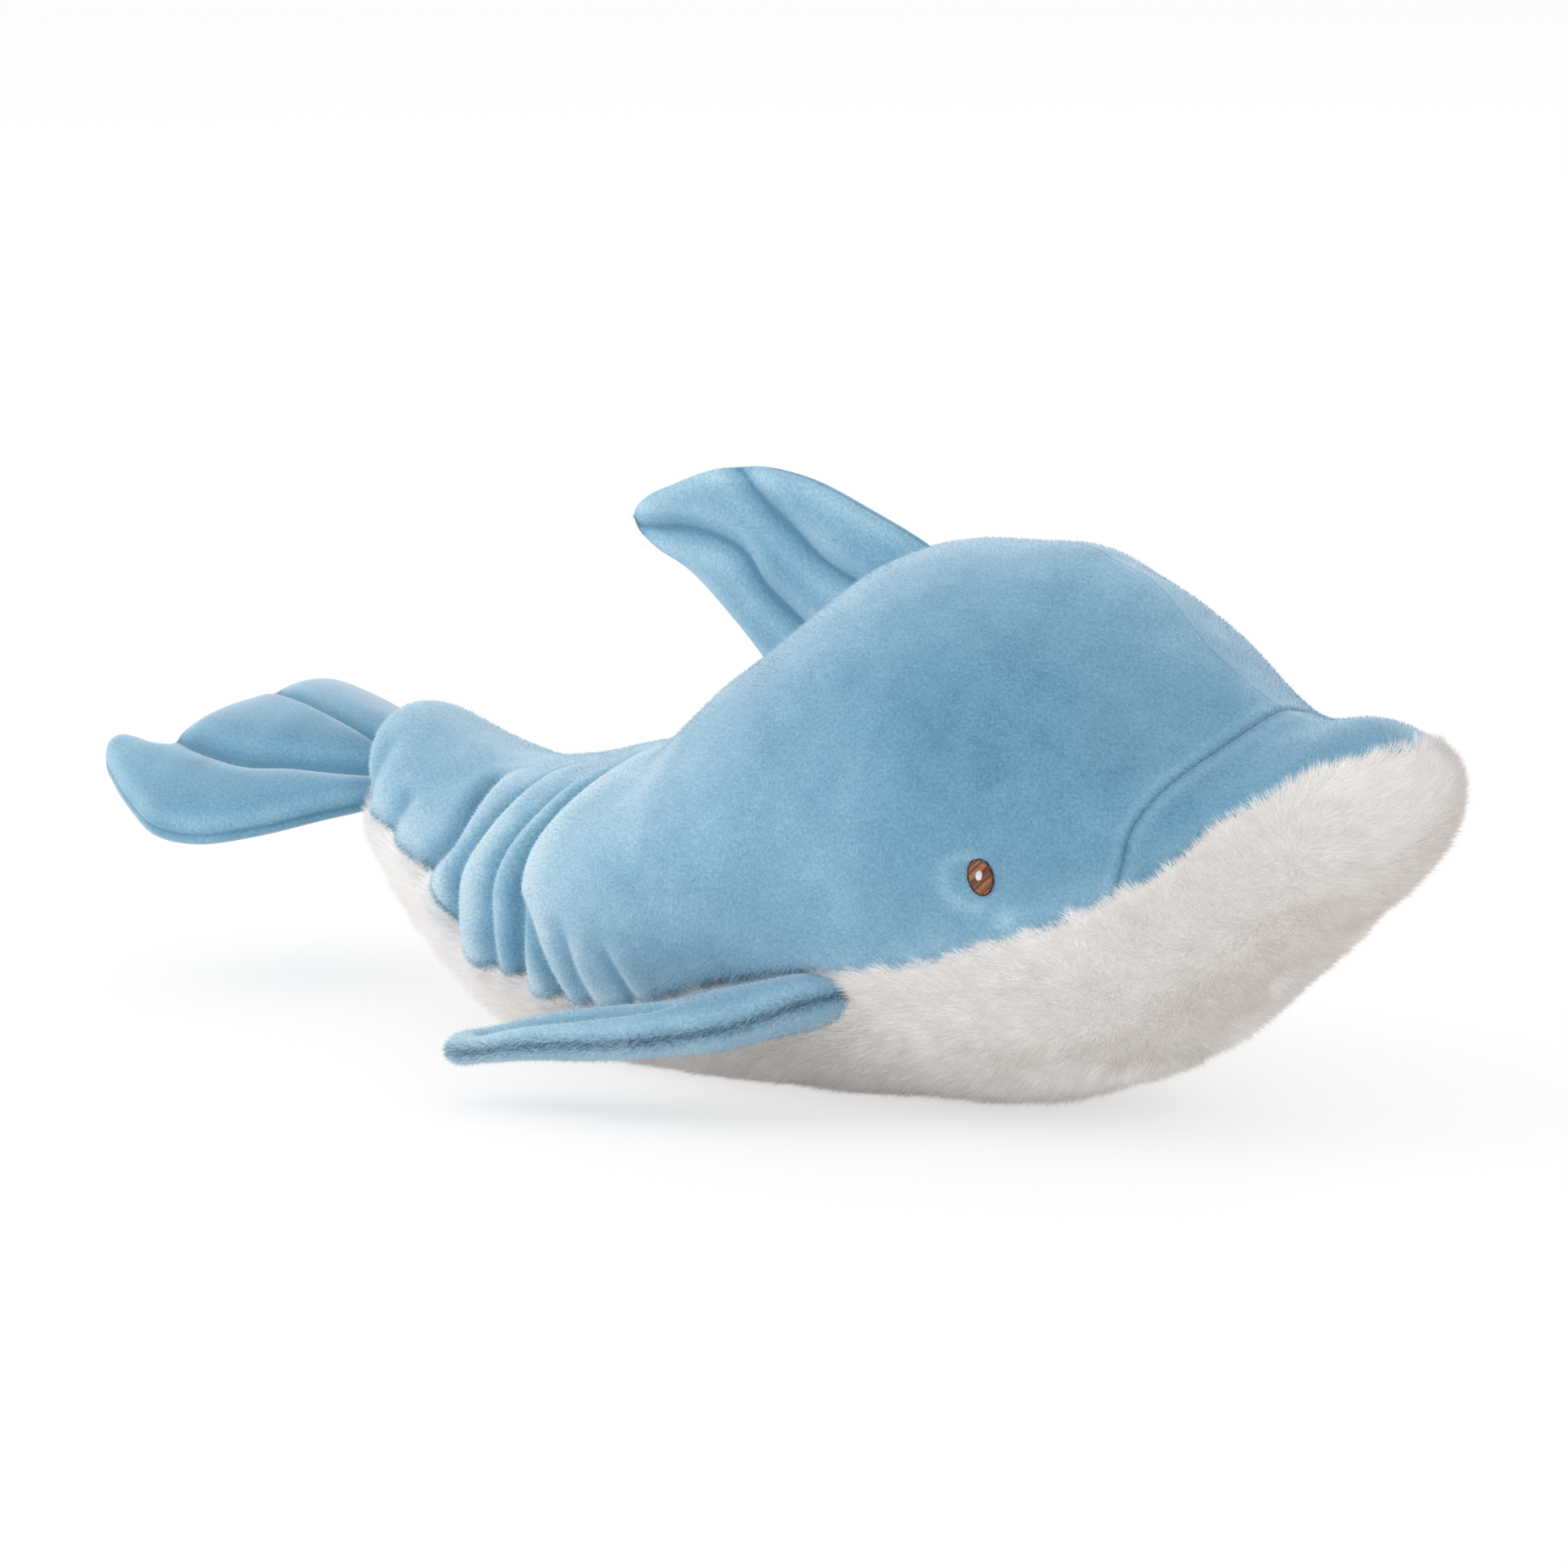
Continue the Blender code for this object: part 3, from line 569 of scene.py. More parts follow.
def pleats(s, v):
    """Height of the gathered cloth at the tail: a crest with a valley on its tail side."""
    degrees = np.degrees(folded_angle(v))
    height = np.zeros(np.broadcast(s, v).shape)
    for number, (crest_line, crest, valley, width) in enumerate(PLEATS):
        line_s, line_v = np.array(crest_line).T
        turns = degrees / (PLEAT_WANDER_LENGTH + number) + PLEAT_WANDER_SHIFT * number
        wander = PLEAT_WANDER * np.sin(turns)
        away = (s - curve_through(line_v, line_s, degrees) - wander) / width
        fade = smooth_step((degrees - line_v[0] + PLEAT_FADE / 2) / PLEAT_FADE)
        fade = fade * (1 - smooth_step((degrees - line_v[-1]) / PLEAT_FADE))
        shape = crest * bell(away, *CREST_SHAPE)
        shape = shape - VALLEY_SHARE * valley * bell(away, *VALLEY_SHAPE)
        height = height + shape * fade
    return height


def border_distance(s, v):
    """How far a place lies above the belly seam, round the body."""
    return (border_angle(np.asarray(s, float)) - folded_angle(v)) * half_width(s)


def seam_dip(distance, depth, width):
    """Cloth drawn down beside a seam, with a soft swell around it."""
    swell = SEAM_SWELL * depth * bell(distance, 0, SEAM_SWELL_WIDTH * width)
    return -depth * bell(distance, 0, width) - swell


def from_eye(s, v):
    """How far a place lies beyond the eye's middle, along the body and down its side."""
    return s - EYE_AT, (folded_angle(v) - math.radians(EYE_ANGLE)) * half_width(s)


def pile_lift(s, v):
    """How far the white pile's cloth stands above the blue cloth, rising from the seam."""
    past = np.where(s > BORDER_TOP, FUR_RAMP, -border_distance(s, v))
    return FUR_LIFT * smooth_step(past / FUR_RAMP)


def body_relief(s, v):
    """Seams, pleats, the hollow round each eye and the soft unevenness of the stuffing."""
    s, v = np.broadcast_arrays(np.asarray(s, float), np.asarray(v, float))
    points = body_base(s, v)
    above = border_distance(s, v)
    drawn = 1 - BELLY_SEAM_EASED * rising(s, *PAST_FLIPPER)
    relief = pleats(s, v) + seam_dip(above, *BELLY_SEAM) * drawn * (s < BORDER_TOP)
    cuff = CUFF_RISE * bell(s, CUFF_AT, CUFF_WIDTH)
    crest = bell(folded_angle(v), 0, CUFF_CREST_SPREAD) * bell(s, CUFF_CREST_AT, 0.8 * CUFF_WIDTH)
    cuff = cuff + CUFF_CREST * crest
    relief = relief + cuff * smooth_step((above + 0.004) / 0.012)
    back = folded_angle(v) * half_width(s)
    relief = relief + seam_dip(back, *BACK_SEAM) * rising(s, *BACK_SEAM_FROM) * (s < MUZZLE_TOP)
    muzzle = s - muzzle_seam(s, v)
    relief = relief + seam_dip(muzzle * 0.8, *MUZZLE_SEAM) * smooth_step(above / 0.004)
    along, down = from_eye(s, v)
    relief = relief - EYE_HOLLOW * bell(np.hypot(along + 0.001, down), 0, EYE_HOLLOW_WIDTH)
    return relief + noises(points, UNEVEN) * smooth_step(above / 0.010)


def body_nap_and_painted_light(s, v):
    """How pale the velour is drawn, from 0 to 1: the brushing of its nap, with painted light and
    shade.
    """
    degrees = np.degrees(folded_angle(v))
    points = body_base(s, v)
    above = border_distance(s, v)
    muzzle = s - muzzle_seam(s, v)
    # Painted sheen: the velour is drawn paler along the back.
    share, width = BACK_PAINTED_SHEEN
    pale = EVEN_PALE + share * bell(degrees, 0, width) * rising(-s, -0.30, 0.10)
    # Painted shade: the head's side is drawn darker, away from the key lamp.
    share, at, width = CHEEK_PAINTED_SHADE
    pale = pale - share * rising(s, 0.185, 0.05) * bell(degrees, at, width)
    # Painted light: the lower flank at the tail, which turns under and away from the light, is
    # drawn paler.
    share, at, width = FLANK_PAINTED_LIGHT
    pale = pale + share * rising(-s, -0.175, 0.06) * bell(degrees, at, width)
    # Painted highlights on the pleats' crests, and painted shade in their valleys.
    pale = pale + PLEAT_PAINTED_SHADING * np.clip(pleats(s, v), *PLEAT_PAINTED_SHADING_RANGE)
    share, at, width = BELLY_SEAM_PALE
    pale = pale + share * bell(above, at, width)
    share, at, width = MUZZLE_SEAM_PALE
    pale = pale + share * bell(np.abs(muzzle), at, width)
    share, width = MUZZLE_SEAM_DARK
    pale = pale - share * bell(muzzle, 0, width)
    along, down = from_eye(s, v)
    share, at, width = EYE_RING_PALE
    ring = bell(np.hypot(along + 0.0020, down), at, width)
    pale = pale + share * ring * rising(-along, -0.0030, 0.006)
    trail = bell(along - 0.0035, 0.0, 0.0028) * bell(down, 0.0110, 0.0035)
    return pale + EYE_TRAIL_PALE * trail + noises(points, BODY_PATCHES)


def body_skin(s, v, lift=0.0):
    """The dressed body's surface, or one that lies a lift off it, flat where it rests."""
    s, v = np.broadcast_arrays(np.asarray(s, float), np.asarray(v, float))
    out = body_relief(s, v) + pile_lift(s, v) + lift
    points = body_base(s, v) + body_normal(s, v) * out[..., None]
    points[..., 2] = np.maximum(points[..., 2], max(-lift, CLOTH_OVER_FLOOR))
    return points


def mesh_piece(name, points, faces, materials, slots=None, smooth=True, nap_and_painted_light=None):
    """A mesh object that rides on the dolphin's one body."""
    mesh = bpy.data.meshes.new(name)
    faces = [np.asarray(group) for group in faces if len(group)]
    sizes = np.concatenate([np.full(len(group), group.shape[1]) for group in faces])
    corners = np.concatenate([group.reshape(-1) for group in faces])
    mesh.vertices.add(len(points))
    mesh.vertices.foreach_set("co", np.asarray(points, np.float32).reshape(-1))
    mesh.loops.add(len(corners))
    mesh.loops.foreach_set("vertex_index", corners.astype(np.int32))
    mesh.polygons.add(len(sizes))
    starts = np.concatenate([[0], np.cumsum(sizes)[:-1]])
    mesh.polygons.foreach_set("loop_start", starts.astype(np.int32))
    mesh.polygons.foreach_set("loop_total", sizes.astype(np.int32))
    if slots is not None:
        mesh.polygons.foreach_set("material_index", np.asarray(slots, np.int32))
    mesh.polygons.foreach_set("use_smooth", np.full(len(sizes), smooth))
    if nap_and_painted_light is not None:
        values = mesh.attributes.new("nap_and_painted_light", "FLOAT", "POINT").data
        values.foreach_set("value", np.ravel(nap_and_painted_light).astype(np.float32))
    mesh.update(calc_edges=True)
    mesh.validate()
    for material in materials:
        mesh.materials.append(material)
    made = bpy.data.objects.new(name, mesh)
    bpy.context.scene.collection.objects.link(made)
    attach(made, "root")
    return made


def grid_faces(rows, columns, closed=False):
    """Four-sided faces between the points of a grid, whose last column may join its first."""
    index = np.arange(rows * columns).reshape(rows, columns)
    if closed:
        index = np.concatenate([index, index[:, :1]], axis=1)
    quads = np.stack([index[:-1, :-1], index[:-1, 1:], index[1:, 1:], index[1:, :-1]], -1)
    return quads.reshape(-1, 4)


def panel(name, outer, inner, material, nap_and_painted_light=None):
    """A sheet of cloth whose edges turn in, down to a sheet of points that lies under it."""
    rows, columns = outer.shape[:2]
    count = rows * columns
    index = np.arange(count).reshape(rows, columns)
    rim = np.concatenate([index[0, :-1], index[:-1, -1], index[-1, :0:-1], index[:0:-1, 0]])
    turned_in = count + np.arange(len(rim))
    hem = np.stack([rim, np.roll(rim, -1), np.roll(turned_in, -1), turned_in], -1)
    points = np.concatenate([outer.reshape(-1, 3), inner.reshape(-1, 3)[rim]])
    if nap_and_painted_light is not None:
        nap_and_painted_light = np.concatenate([nap_and_painted_light.reshape(-1), nap_and_painted_light.reshape(-1)[rim]])
    faces = [grid_faces(rows, columns)[:, ::-1], hem]
    made = mesh_piece(name, points, faces, [material], nap_and_painted_light=nap_and_painted_light)
    tidy_mesh(made)
    return made


def tidy_mesh(piece):
    """Welds points that coincide and turns every face outward."""
    bm = bmesh.new()
    bm.from_mesh(piece.data)
    bmesh.ops.remove_doubles(bm, verts=bm.verts, dist=1e-6)
    bmesh.ops.dissolve_degenerate(bm, edges=bm.edges, dist=1e-7)
    bmesh.ops.recalc_face_normals(bm, faces=bm.faces)
    bm.to_mesh(piece.data)
    bm.free()


class Sprinkle:
    """Places spread evenly over a grid of points, with their directions across the surface."""

    def __init__(self, grid, count, seed, outward, favour=None):
        self.random = np.random.default_rng(seed)
        columns = grid.shape[1]
        a, b = grid[:-1, :-1], grid[:-1, 1:]
        c, d = grid[1:, 1:], grid[1:, :-1]
        size = np.linalg.norm(np.cross(c - a, d - b), axis=-1).reshape(-1) / 2
        self.area = size.sum()
        if favour is not None:
            size = size * favour[:-1, :-1].reshape(-1)
        total = np.cumsum(size)
        pick = (np.arange(count) + self.random.random(count)) / count * total[-1]
        cell = np.minimum(np.searchsorted(total, pick), len(size) - 1)
        i, j = np.divmod(cell, columns - 1)
        x, y = self.random.random((2, count))
        corner = [part.reshape(-1, 3)[cell] for part in (a, b, c, d)]
        down, forward = x[:, None], y[:, None]
        first = corner[0] * (1 - down) + corner[1] * down
        last = corner[3] * (1 - down) + corner[2] * down
        self.points = first * (1 - forward) + last * forward
        self.down = unit((corner[1] - corner[0]) + (corner[2] - corner[3]))
        self.forward = unit((corner[3] - corner[0]) + (corner[2] - corner[1]))
        self.normals = outward * unit(np.cross(self.forward, self.down))
        self.cell = (i, j, y, x)

    def read(self, field):
        """A grid's values at the places."""
        i, j, y, x = self.cell
        upper = field[i, j] * (1 - x) + field[i, j + 1] * x
        return upper * (1 - y) + (field[i + 1, j] * (1 - x) + field[i + 1, j + 1] * x) * y


def comb(places, along, across, wander, size, seed):
    """Directions in the surface: a share forward, a share down, and patches that wander."""
    turn = wander * soft_noise(places.points, size, seed)
    forward = np.cos(turn)[:, None] * places.forward + np.sin(turn)[:, None] * places.down
    down = np.cos(turn)[:, None] * places.down - np.sin(turn)[:, None] * places.forward
    return unit(forward * np.reshape(along, (-1, 1)) + down * np.reshape(across, (-1, 1)))


def fibres(name, roots, normals, combed, length, width, stand, shade, materials, rng):
    """Pile fibres as flat tapered blades that lean in the direction they are combed."""
    count = len(roots)
    length = np.broadcast_to(length, count)[:, None]
    width = np.broadcast_to(width, count)[:, None]
    stand = np.broadcast_to(stand, count)[:, None]
    loose = rng.normal(0, 0.20, (count, 3))
    combed = unit(combed + loose)
    root_way = unit(normals * (stand + 0.25) + combed * (1 - stand))
    tip_way = unit(normals * (stand - 0.18) + combed * (1.15 - stand) + 0.3 * loose)
    side = unit(np.cross(root_way, normals + 0.8 * rng.normal(0, 0.5, (count, 3))))
    middle = roots + root_way * length * 0.5
    tip = middle + tip_way * length * 0.5
    index = np.arange(count)[:, None]
    points = np.stack([roots - side * width / 2, roots + side * width / 2, tip], 1).reshape(-1, 3)
    points[:, 2] = np.maximum(points[:, 2], CLOTH_OVER_FLOOR)
    faces = (index * 3 + [0, 1, 2]).reshape(-1, 3)
    return mesh_piece(name, points, [faces], materials, shade, smooth=False)


def pick_shade(value, rng, spread, count):
    """Material numbers from a value of 0 to 1, each fibre a little off its neighbours."""
    shade = np.clip(value + rng.normal(0, spread, len(value)), 0, 0.999)
    return (shade * count).astype(int)


def principled(name, colour, roughness, sheen=0.0, sheen_tint=(1, 1, 1), sheen_roughness=0.5):
    """A plain material, with a sheen where one is given."""
    material = bpy.data.materials.new(name)
    material.use_nodes = True
    shader = material.node_tree.nodes["Principled BSDF"]
    shader.inputs["Base Color"].default_value = (*colour, 1)
    shader.inputs["Roughness"].default_value = roughness
    shader.inputs["Specular IOR Level"].default_value = 0.2
    shader.inputs["Sheen Weight"].default_value = sheen
    shader.inputs["Sheen Tint"].default_value = (*sheen_tint, 1)
    shader.inputs["Sheen Roughness"].default_value = sheen_roughness
    return material


def mottled(name, dark, light, patch_size, grain_size, roughness, bump, sheen=0.0):
    """Cloth whose colour drifts between two shades in soft patches and in a fine raised grain."""
    material = principled(name, light, roughness, sheen, sheen_roughness=0.42)
    tree = material.node_tree
    shader = tree.nodes["Principled BSDF"]
    place = tree.nodes.new("ShaderNodeTexCoord")
    grains = []
    for size, detail in ((patch_size, 3), (grain_size, 4)):
        noise = tree.nodes.new("ShaderNodeTexNoise")
        noise.inputs["Scale"].default_value = 1 / size
        noise.inputs["Detail"].default_value = detail
        noise.inputs["Roughness"].default_value = 0.6
        tree.links.new(place.outputs["Object"], noise.inputs["Vector"])
        grains.append(noise.outputs["Fac"])
    both = tree.nodes.new("ShaderNodeMath")
    both.operation = "ADD"
    ramp = tree.nodes.new("ShaderNodeValToRGB")
    ramp.color_ramp.elements[0].position = 0.72
    ramp.color_ramp.elements[0].color = (*dark, 1)
    ramp.color_ramp.elements[1].position = 1.0
    ramp.color_ramp.elements[1].color = (*light, 1)
    middle = ramp.color_ramp.elements.new(0.86)
    middle.color = (*(0.5 * (a + b) for a, b in zip(dark, light)), 1)
    halved = tree.nodes.new("ShaderNodeMapRange")
    halved.inputs["From Min"].default_value = 0.6
    halved.inputs["From Max"].default_value = 1.4
    halved.inputs["To Min"].default_value = 0.6
    halved.inputs["To Max"].default_value = 1.12
    relief = tree.nodes.new("ShaderNodeBump")
    relief.inputs["Strength"].default_value = 0.5
    relief.inputs["Distance"].default_value = bump
    link_all(
        tree,
        (grains[0], both.inputs[0]),
        (grains[1], both.inputs[1]),
        (both.outputs["Value"], halved.inputs["Value"]),
        (halved.outputs["Result"], ramp.inputs["Fac"]),
        (ramp.outputs["Color"], shader.inputs["Base Color"]),
        (grains[1], relief.inputs["Height"]),
        (relief.outputs["Normal"], shader.inputs["Normal"]),
    )
    return material


def link_all(tree, *pairs):
    """Link each pair of sockets, as source and target."""
    for source, target in pairs:
        tree.links.new(source, target)


def finish_named(name, make):
    """A material that several pieces share."""
    return bpy.data.materials.get(name) or make(name)


def velour_finish(name):
    """Velour whose paleness follows the value drawn on its mesh, the brushing of its nap with
    painted light and shade, and a fine grain.
    """
    material = principled(name, VELOUR_SHADES[2], 0.9, 1.0, VELOUR_SHEEN, VELOUR_SHEEN_ROUGHNESS)
    tree = material.node_tree
    shader = tree.nodes["Principled BSDF"]
    nap_and_painted_light = tree.nodes.new("ShaderNodeAttribute")
    nap_and_painted_light.attribute_name = "nap_and_painted_light"
    place = tree.nodes.new("ShaderNodeTexCoord")
    grain = tree.nodes.new("ShaderNodeTexNoise")
    grain.inputs["Scale"].default_value = 1400
    grain.inputs["Detail"].default_value = 4
    spread = tree.nodes.new("ShaderNodeMapRange")
    spread.inputs["To Min"].default_value = -0.42
    spread.inputs["To Max"].default_value = 0.36
    both = tree.nodes.new("ShaderNodeMath")
    both.operation = "ADD"
    ramp = tree.nodes.new("ShaderNodeValToRGB")
    ramp.color_ramp.elements[0].color = (*VELOUR_SHADES[0], 1)
    ramp.color_ramp.elements[1].color = (*VELOUR_SHADES[-1], 1)
    for number, colour in list(enumerate(VELOUR_SHADES))[1:-1]:
        ramp.color_ramp.elements.new(number / (len(VELOUR_SHADES) - 1)).color = (*colour, 1)
    relief = tree.nodes.new("ShaderNodeBump")
    relief.inputs["Strength"].default_value = 0.5
    relief.inputs["Distance"].default_value = 0.0003
    link_all(
        tree,
        (place.outputs["Object"], grain.inputs["Vector"]),
        (grain.outputs["Fac"], spread.inputs["Value"]),
        (nap_and_painted_light.outputs["Fac"], both.inputs[0]),
        (spread.outputs["Result"], both.inputs[1]),
        (both.outputs["Value"], ramp.inputs["Fac"]),
        (ramp.outputs["Color"], shader.inputs["Base Color"]),
        (grain.outputs["Fac"], relief.inputs["Height"]),
        (relief.outputs["Normal"], shader.inputs["Normal"]),
    )
    return material


def velour_cloth():
    return finish_named("velour_cloth", velour_finish)


def shades_named(name, shades, *look):
    """One plain material for each shade of a pile."""
    return [
        finish_named(f"{name}_{number}", lambda own, c=colour: principled(own, c, *look))
        for number, colour in enumerate(shades)
    ]


def velour_nap():
    look = (0.85, 1.0, VELOUR_SHEEN, VELOUR_SHEEN_ROUGHNESS)
    return shades_named("velour_nap", VELOUR_SHADES, *look)


def fur_cloth():
    dark, light = FUR_SHADES[0], FUR_SHADES[2]
    return finish_named(
        "fur_cloth", lambda name: mottled(name, dark, light, 0.010, 0.0012, 0.95, 0.0004)
    )


def fur_pile():
    return shades_named("fur_pile", FUR_SHADES, 0.7, 0.1)


def settings():
    return bpy.context.scene.plush_dolphin_sizes


def nap_on(name, grid, seed, outward, splay, nap_and_painted_light, along=-1.0, across=0.25):
    """Short velour nap over a grid: it lies down in patches, and stands up at the seams."""
    sizes = settings()
    probe = Sprinkle(grid, 8, seed, outward)
    count = int(probe.area * 1e6 * sizes.nap_density * (1 + 1.5 * splay.mean()))
    places = Sprinkle(grid, count, seed, outward, 1 + 4 * splay)
    rng = places.random
    near = places.read(splay)
    combed = comb(places, along, across, 0.9, 0.022, seed)
    stand = NAP_STAND + 0.12 * soft_noise(places.points, 0.006, seed + 1)
    length = sizes.nap_length * rng.uniform(0.75, 1.2, count) * (1 + 1.1 * near)
    width = NAP_WIDTH * (1 + 0.6 * near)
    # The nap is drawn paler than the cloth under it, a painted sheen that shows where the fibres
    # are seen edge-on; it also takes the cloth's brushing and painted light.
    value = 0.30 + 0.8 * places.read(nap_and_painted_light) + 0.06 * soft_noise(places.points, 0.003, seed + 3)
    value = value + 0.24 * near * rng.choice([-2.4, 0.8], count, p=[0.42, 0.58])
    shade = pick_shade(value, rng, NAP_SPREAD, len(VELOUR_SHADES))
    made = fibres(name, places.points, places.normals, combed, length, width, stand, shade,
                  velour_nap(), rng)


def muzzle_edge(share):
    """Where the muzzle's seam crosses the panels, at a share of the way to the belly seam."""
    s = np.full(share.shape, MUZZLE_FOOT)
    for _ in range(12):
        s = muzzle_seam(s, share * border_angle(s))
    return s


def side_grid(rows, columns):
    """Places on a side panel: from the tail to the muzzle's seam, and from back to belly."""
    reach = np.linspace(0, 1, rows)
    reach = reach + 0.4 * reach**2 * (1 - reach)
    share = np.linspace(0, 1, columns)
    share = 0.5 * share + 0.5 * smooth_step(share)
    blend = smooth_step((reach - 0.6) / 0.4)[:, None]
    s = TAIL_TIP + reach[:, None] * (MUZZLE_FOOT - TAIL_TIP)
    s = s + blend * (muzzle_edge(share) - MUZZLE_FOOT)
    v = share * border_angle(s)
    return s, v


def muzzle_grid(rows, columns):
    """Places on the muzzle's panel, from its seam to where the white pile closes over the beak."""
    share = np.linspace(-1, 1, columns)
    start = muzzle_edge(np.abs(share))
    end = BORDER_TOP - MUZZLE_END_GAP
    s = start + (end - start) * np.sin(np.linspace(0, math.pi / 2, rows))[:, None]
    v = share * border_angle(s)
    return s, v


def belly_grid(rows, columns):
    """Places on the white panel, which wraps the tip of the beak."""
    wrap = BORDER_TOP - BEAK_WRAP
    plain = TAIL_TIP + wrap * np.linspace(0, 1, int(rows * 0.7)) ** 1.15
    turn = np.linspace(0, math.pi / 2, rows - len(plain) + 1)[1:]
    tip = wrap + (BODY_LENGTH - wrap) * np.sin(turn)
    s = np.concatenate([plain, tip])[:, None]
    start = np.where(s < BORDER_TOP, border_angle(s), 0)
    share = np.linspace(0, 1, columns)
    v = start + share * (2 * math.pi - 2 * start)
    return s + 0 * v, v


def dress_side(side, hand):
    """One blue side panel with its nap."""
    s, v = side_grid(*SIDE_GRID)
    flip = np.array([1, hand, 1])
    nap_and_painted_light = body_nap_and_painted_light(s, v)
    outer = body_skin(s, v) * flip
    inner = body_skin(s, v, -CLOTH_THICKNESS) * flip
    cloth = panel(f"{side}_side_velour", outer, inner, velour_cloth(), nap_and_painted_light)
    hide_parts(f"{side}_side_panel", *(["body_filling"] if hand > 0 else []))
    muzzle = s - muzzle_seam(s, v)
    edge = bell(border_distance(s, v), 0, 0.0035) * (1 - 0.7 * rising(s, *PAST_FLIPPER))
    splay = np.clip(edge + 0.3 * bell(muzzle, 0, 0.0010), 0, 1)
    nap_on(f"{side}_side_nap", body_skin(s, v, NAP_ROOTS) * flip, 11, -hand, splay, nap_and_painted_light)


def dress_muzzle():
    """The blue panel over the beak."""
    s, v = muzzle_grid(*MUZZLE_GRID)
    nap_and_painted_light = body_nap_and_painted_light(s, v)
    inner = body_skin(s, v, -CLOTH_THICKNESS)
    cloth = panel("muzzle_velour", body_skin(s, v), inner, velour_cloth(), nap_and_painted_light)
    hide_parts("muzzle_panel")
    splay = 0.3 * bell(border_distance(s, v), 0, 0.0035)
    splay = np.clip(splay + 0.3 * bell(s - muzzle_seam(s, v), 0, 0.0010), 0, 1)
    nap_on("muzzle_nap", body_skin(s, v, NAP_ROOTS), 13, -1, splay, nap_and_painted_light, across=0.0)


def dress_belly():
    """The white panel's cloth under its pile."""
    s, v = belly_grid(*BELLY_GRID)
    inner = body_skin(s, v, -FUR_CLOTH_SINK - CLOTH_THICKNESS)
    cloth = panel("belly_fur_cloth", body_skin(s, v, -FUR_CLOTH_SINK), inner, fur_cloth())
    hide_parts("belly_fur_panel")


def fur_directions(places, s, v):
    """How the white pile lies: up and back to the blue, and forward over the beak's tip."""
    ahead = s - BORDER_TOP + folded_angle(v) * half_width(s)
    below = np.where(s < BORDER_TOP, -border_distance(s, v), ahead)
    edge = np.exp(-np.clip(below - FRINGE, 0, None) / FUR_EDGE)
    tip = rising(places.points[:, 0], *BEAK_TIP_X)[:, None]
    flow = np.array([-0.45, 0.0, 0.90]) * (1 - tip) + np.array([0.75, 0.0, 0.55]) * tip
    flow = flow - places.normals * np.sum(flow * places.normals, -1, keepdims=True)
    patches = [soft_noise(places.points, 0.013, seed) for seed in (31, 32, 33)]
    tufts = [soft_noise(places.points, 0.0045, seed) for seed in (34, 35, 36)]
    flow = flow * (1 - 0.5 * edge[:, None]) + edge[:, None] * np.array([-0.55, 0, 0.60])
    flow = flow + 0.34 * np.stack(patches, -1) + 0.20 * np.stack(tufts, -1)
    flow = flow - places.normals * np.sum(flow * places.normals, -1, keepdims=True)
    return unit(flow), edge


def dress_fur():
    """The long white pile, in stretches from the tail to the beak."""
    sizes = settings()
    rows = FUR_GRID[0]
    s, v = belly_grid(*FUR_GRID)
    around = np.where(s < BORDER_TOP, math.pi - border_angle(s), math.pi)
    fringe = FRINGE_AT_TAIL + (FRINGE - FRINGE_AT_TAIL) * rising(s, *FRINGE_FROM)
    fringe = fringe + FRINGE_AT_BEAK * rising(s, *FRINGE_AT_BEAK_FROM)
    v = math.pi + (v - math.pi) * np.where(s < BORDER_TOP, 1 - fringe / half_width(s) / around, 1)
    grid = body_skin(s, v, FUR_ROOTS)
    crowded = 1 + 2.2 * bell(border_distance(s, v), 0, 0.0035) * (s < BORDER_TOP)
    for name, start, end, seed in FUR_STRETCHES:
        part = slice(int(start * (rows - 1)), int(end * (rows - 1)) + 1)
        probe = Sprinkle(grid[part], 8, seed, -1)
        count = min(int(probe.area * 1e6 * sizes.fur_density), FUR_MOST)
        places = Sprinkle(grid[part], count, seed, -1, crowded[part])
        rng = places.random
        combed, edge = fur_directions(places, places.read(s[part]), places.read(v[part]))
        stand = FUR_STAND + 0.10 * soft_noise(places.points, 0.006, seed) - 0.14 * edge
        tuft = soft_noise(places.points, 0.0032, seed + 1)
        length = sizes.fur_length * rng.uniform(0.72, 1.12, count)
        length = length * (1 + 0.14 * tuft - (0.16 - 0.26 * tuft) * edge)
        x = places.points[:, 0]
        value = FUR_VALUE + 0.12 * tuft + 0.10 * soft_noise(places.points, 0.012, seed + 2)
        # Painted light: the pile by the blue seam is drawn paler, and the tail's pile, which faces
        # away from the lamps, much paler; painted shade: the beak's pile, where the light falls
        # strongest, is drawn darker.
        value = value + 0.16 * edge
        value = value + 0.45 * rising(-x, 0.02, 0.06)
        value = value - 0.22 * rising(x, 0.11, 0.06) * (1 - edge)
        shade = pick_shade(value, rng, FUR_SPREAD, len(FUR_SHADES))
        pile = fibres(name, places.points, places.normals, combed, length, FUR_WIDTH, stand, shade,
                      fur_pile(), rng)
        pile.visible_shadow = False
        pile.visible_diffuse = False


def near_line(points, line):
    """Distance from each point to a line through some places."""
    nearest = np.full(points.shape[:-1], np.inf)
    for start, end in zip(line[:-1], line[1:]):
        way = end - start
        along = np.clip((points - start) @ way / max(way @ way, 1e-12), 0, 1)
        away = np.linalg.norm(points - start - along[..., None] * way, axis=-1)
        nearest = np.minimum(nearest, away)
    return nearest


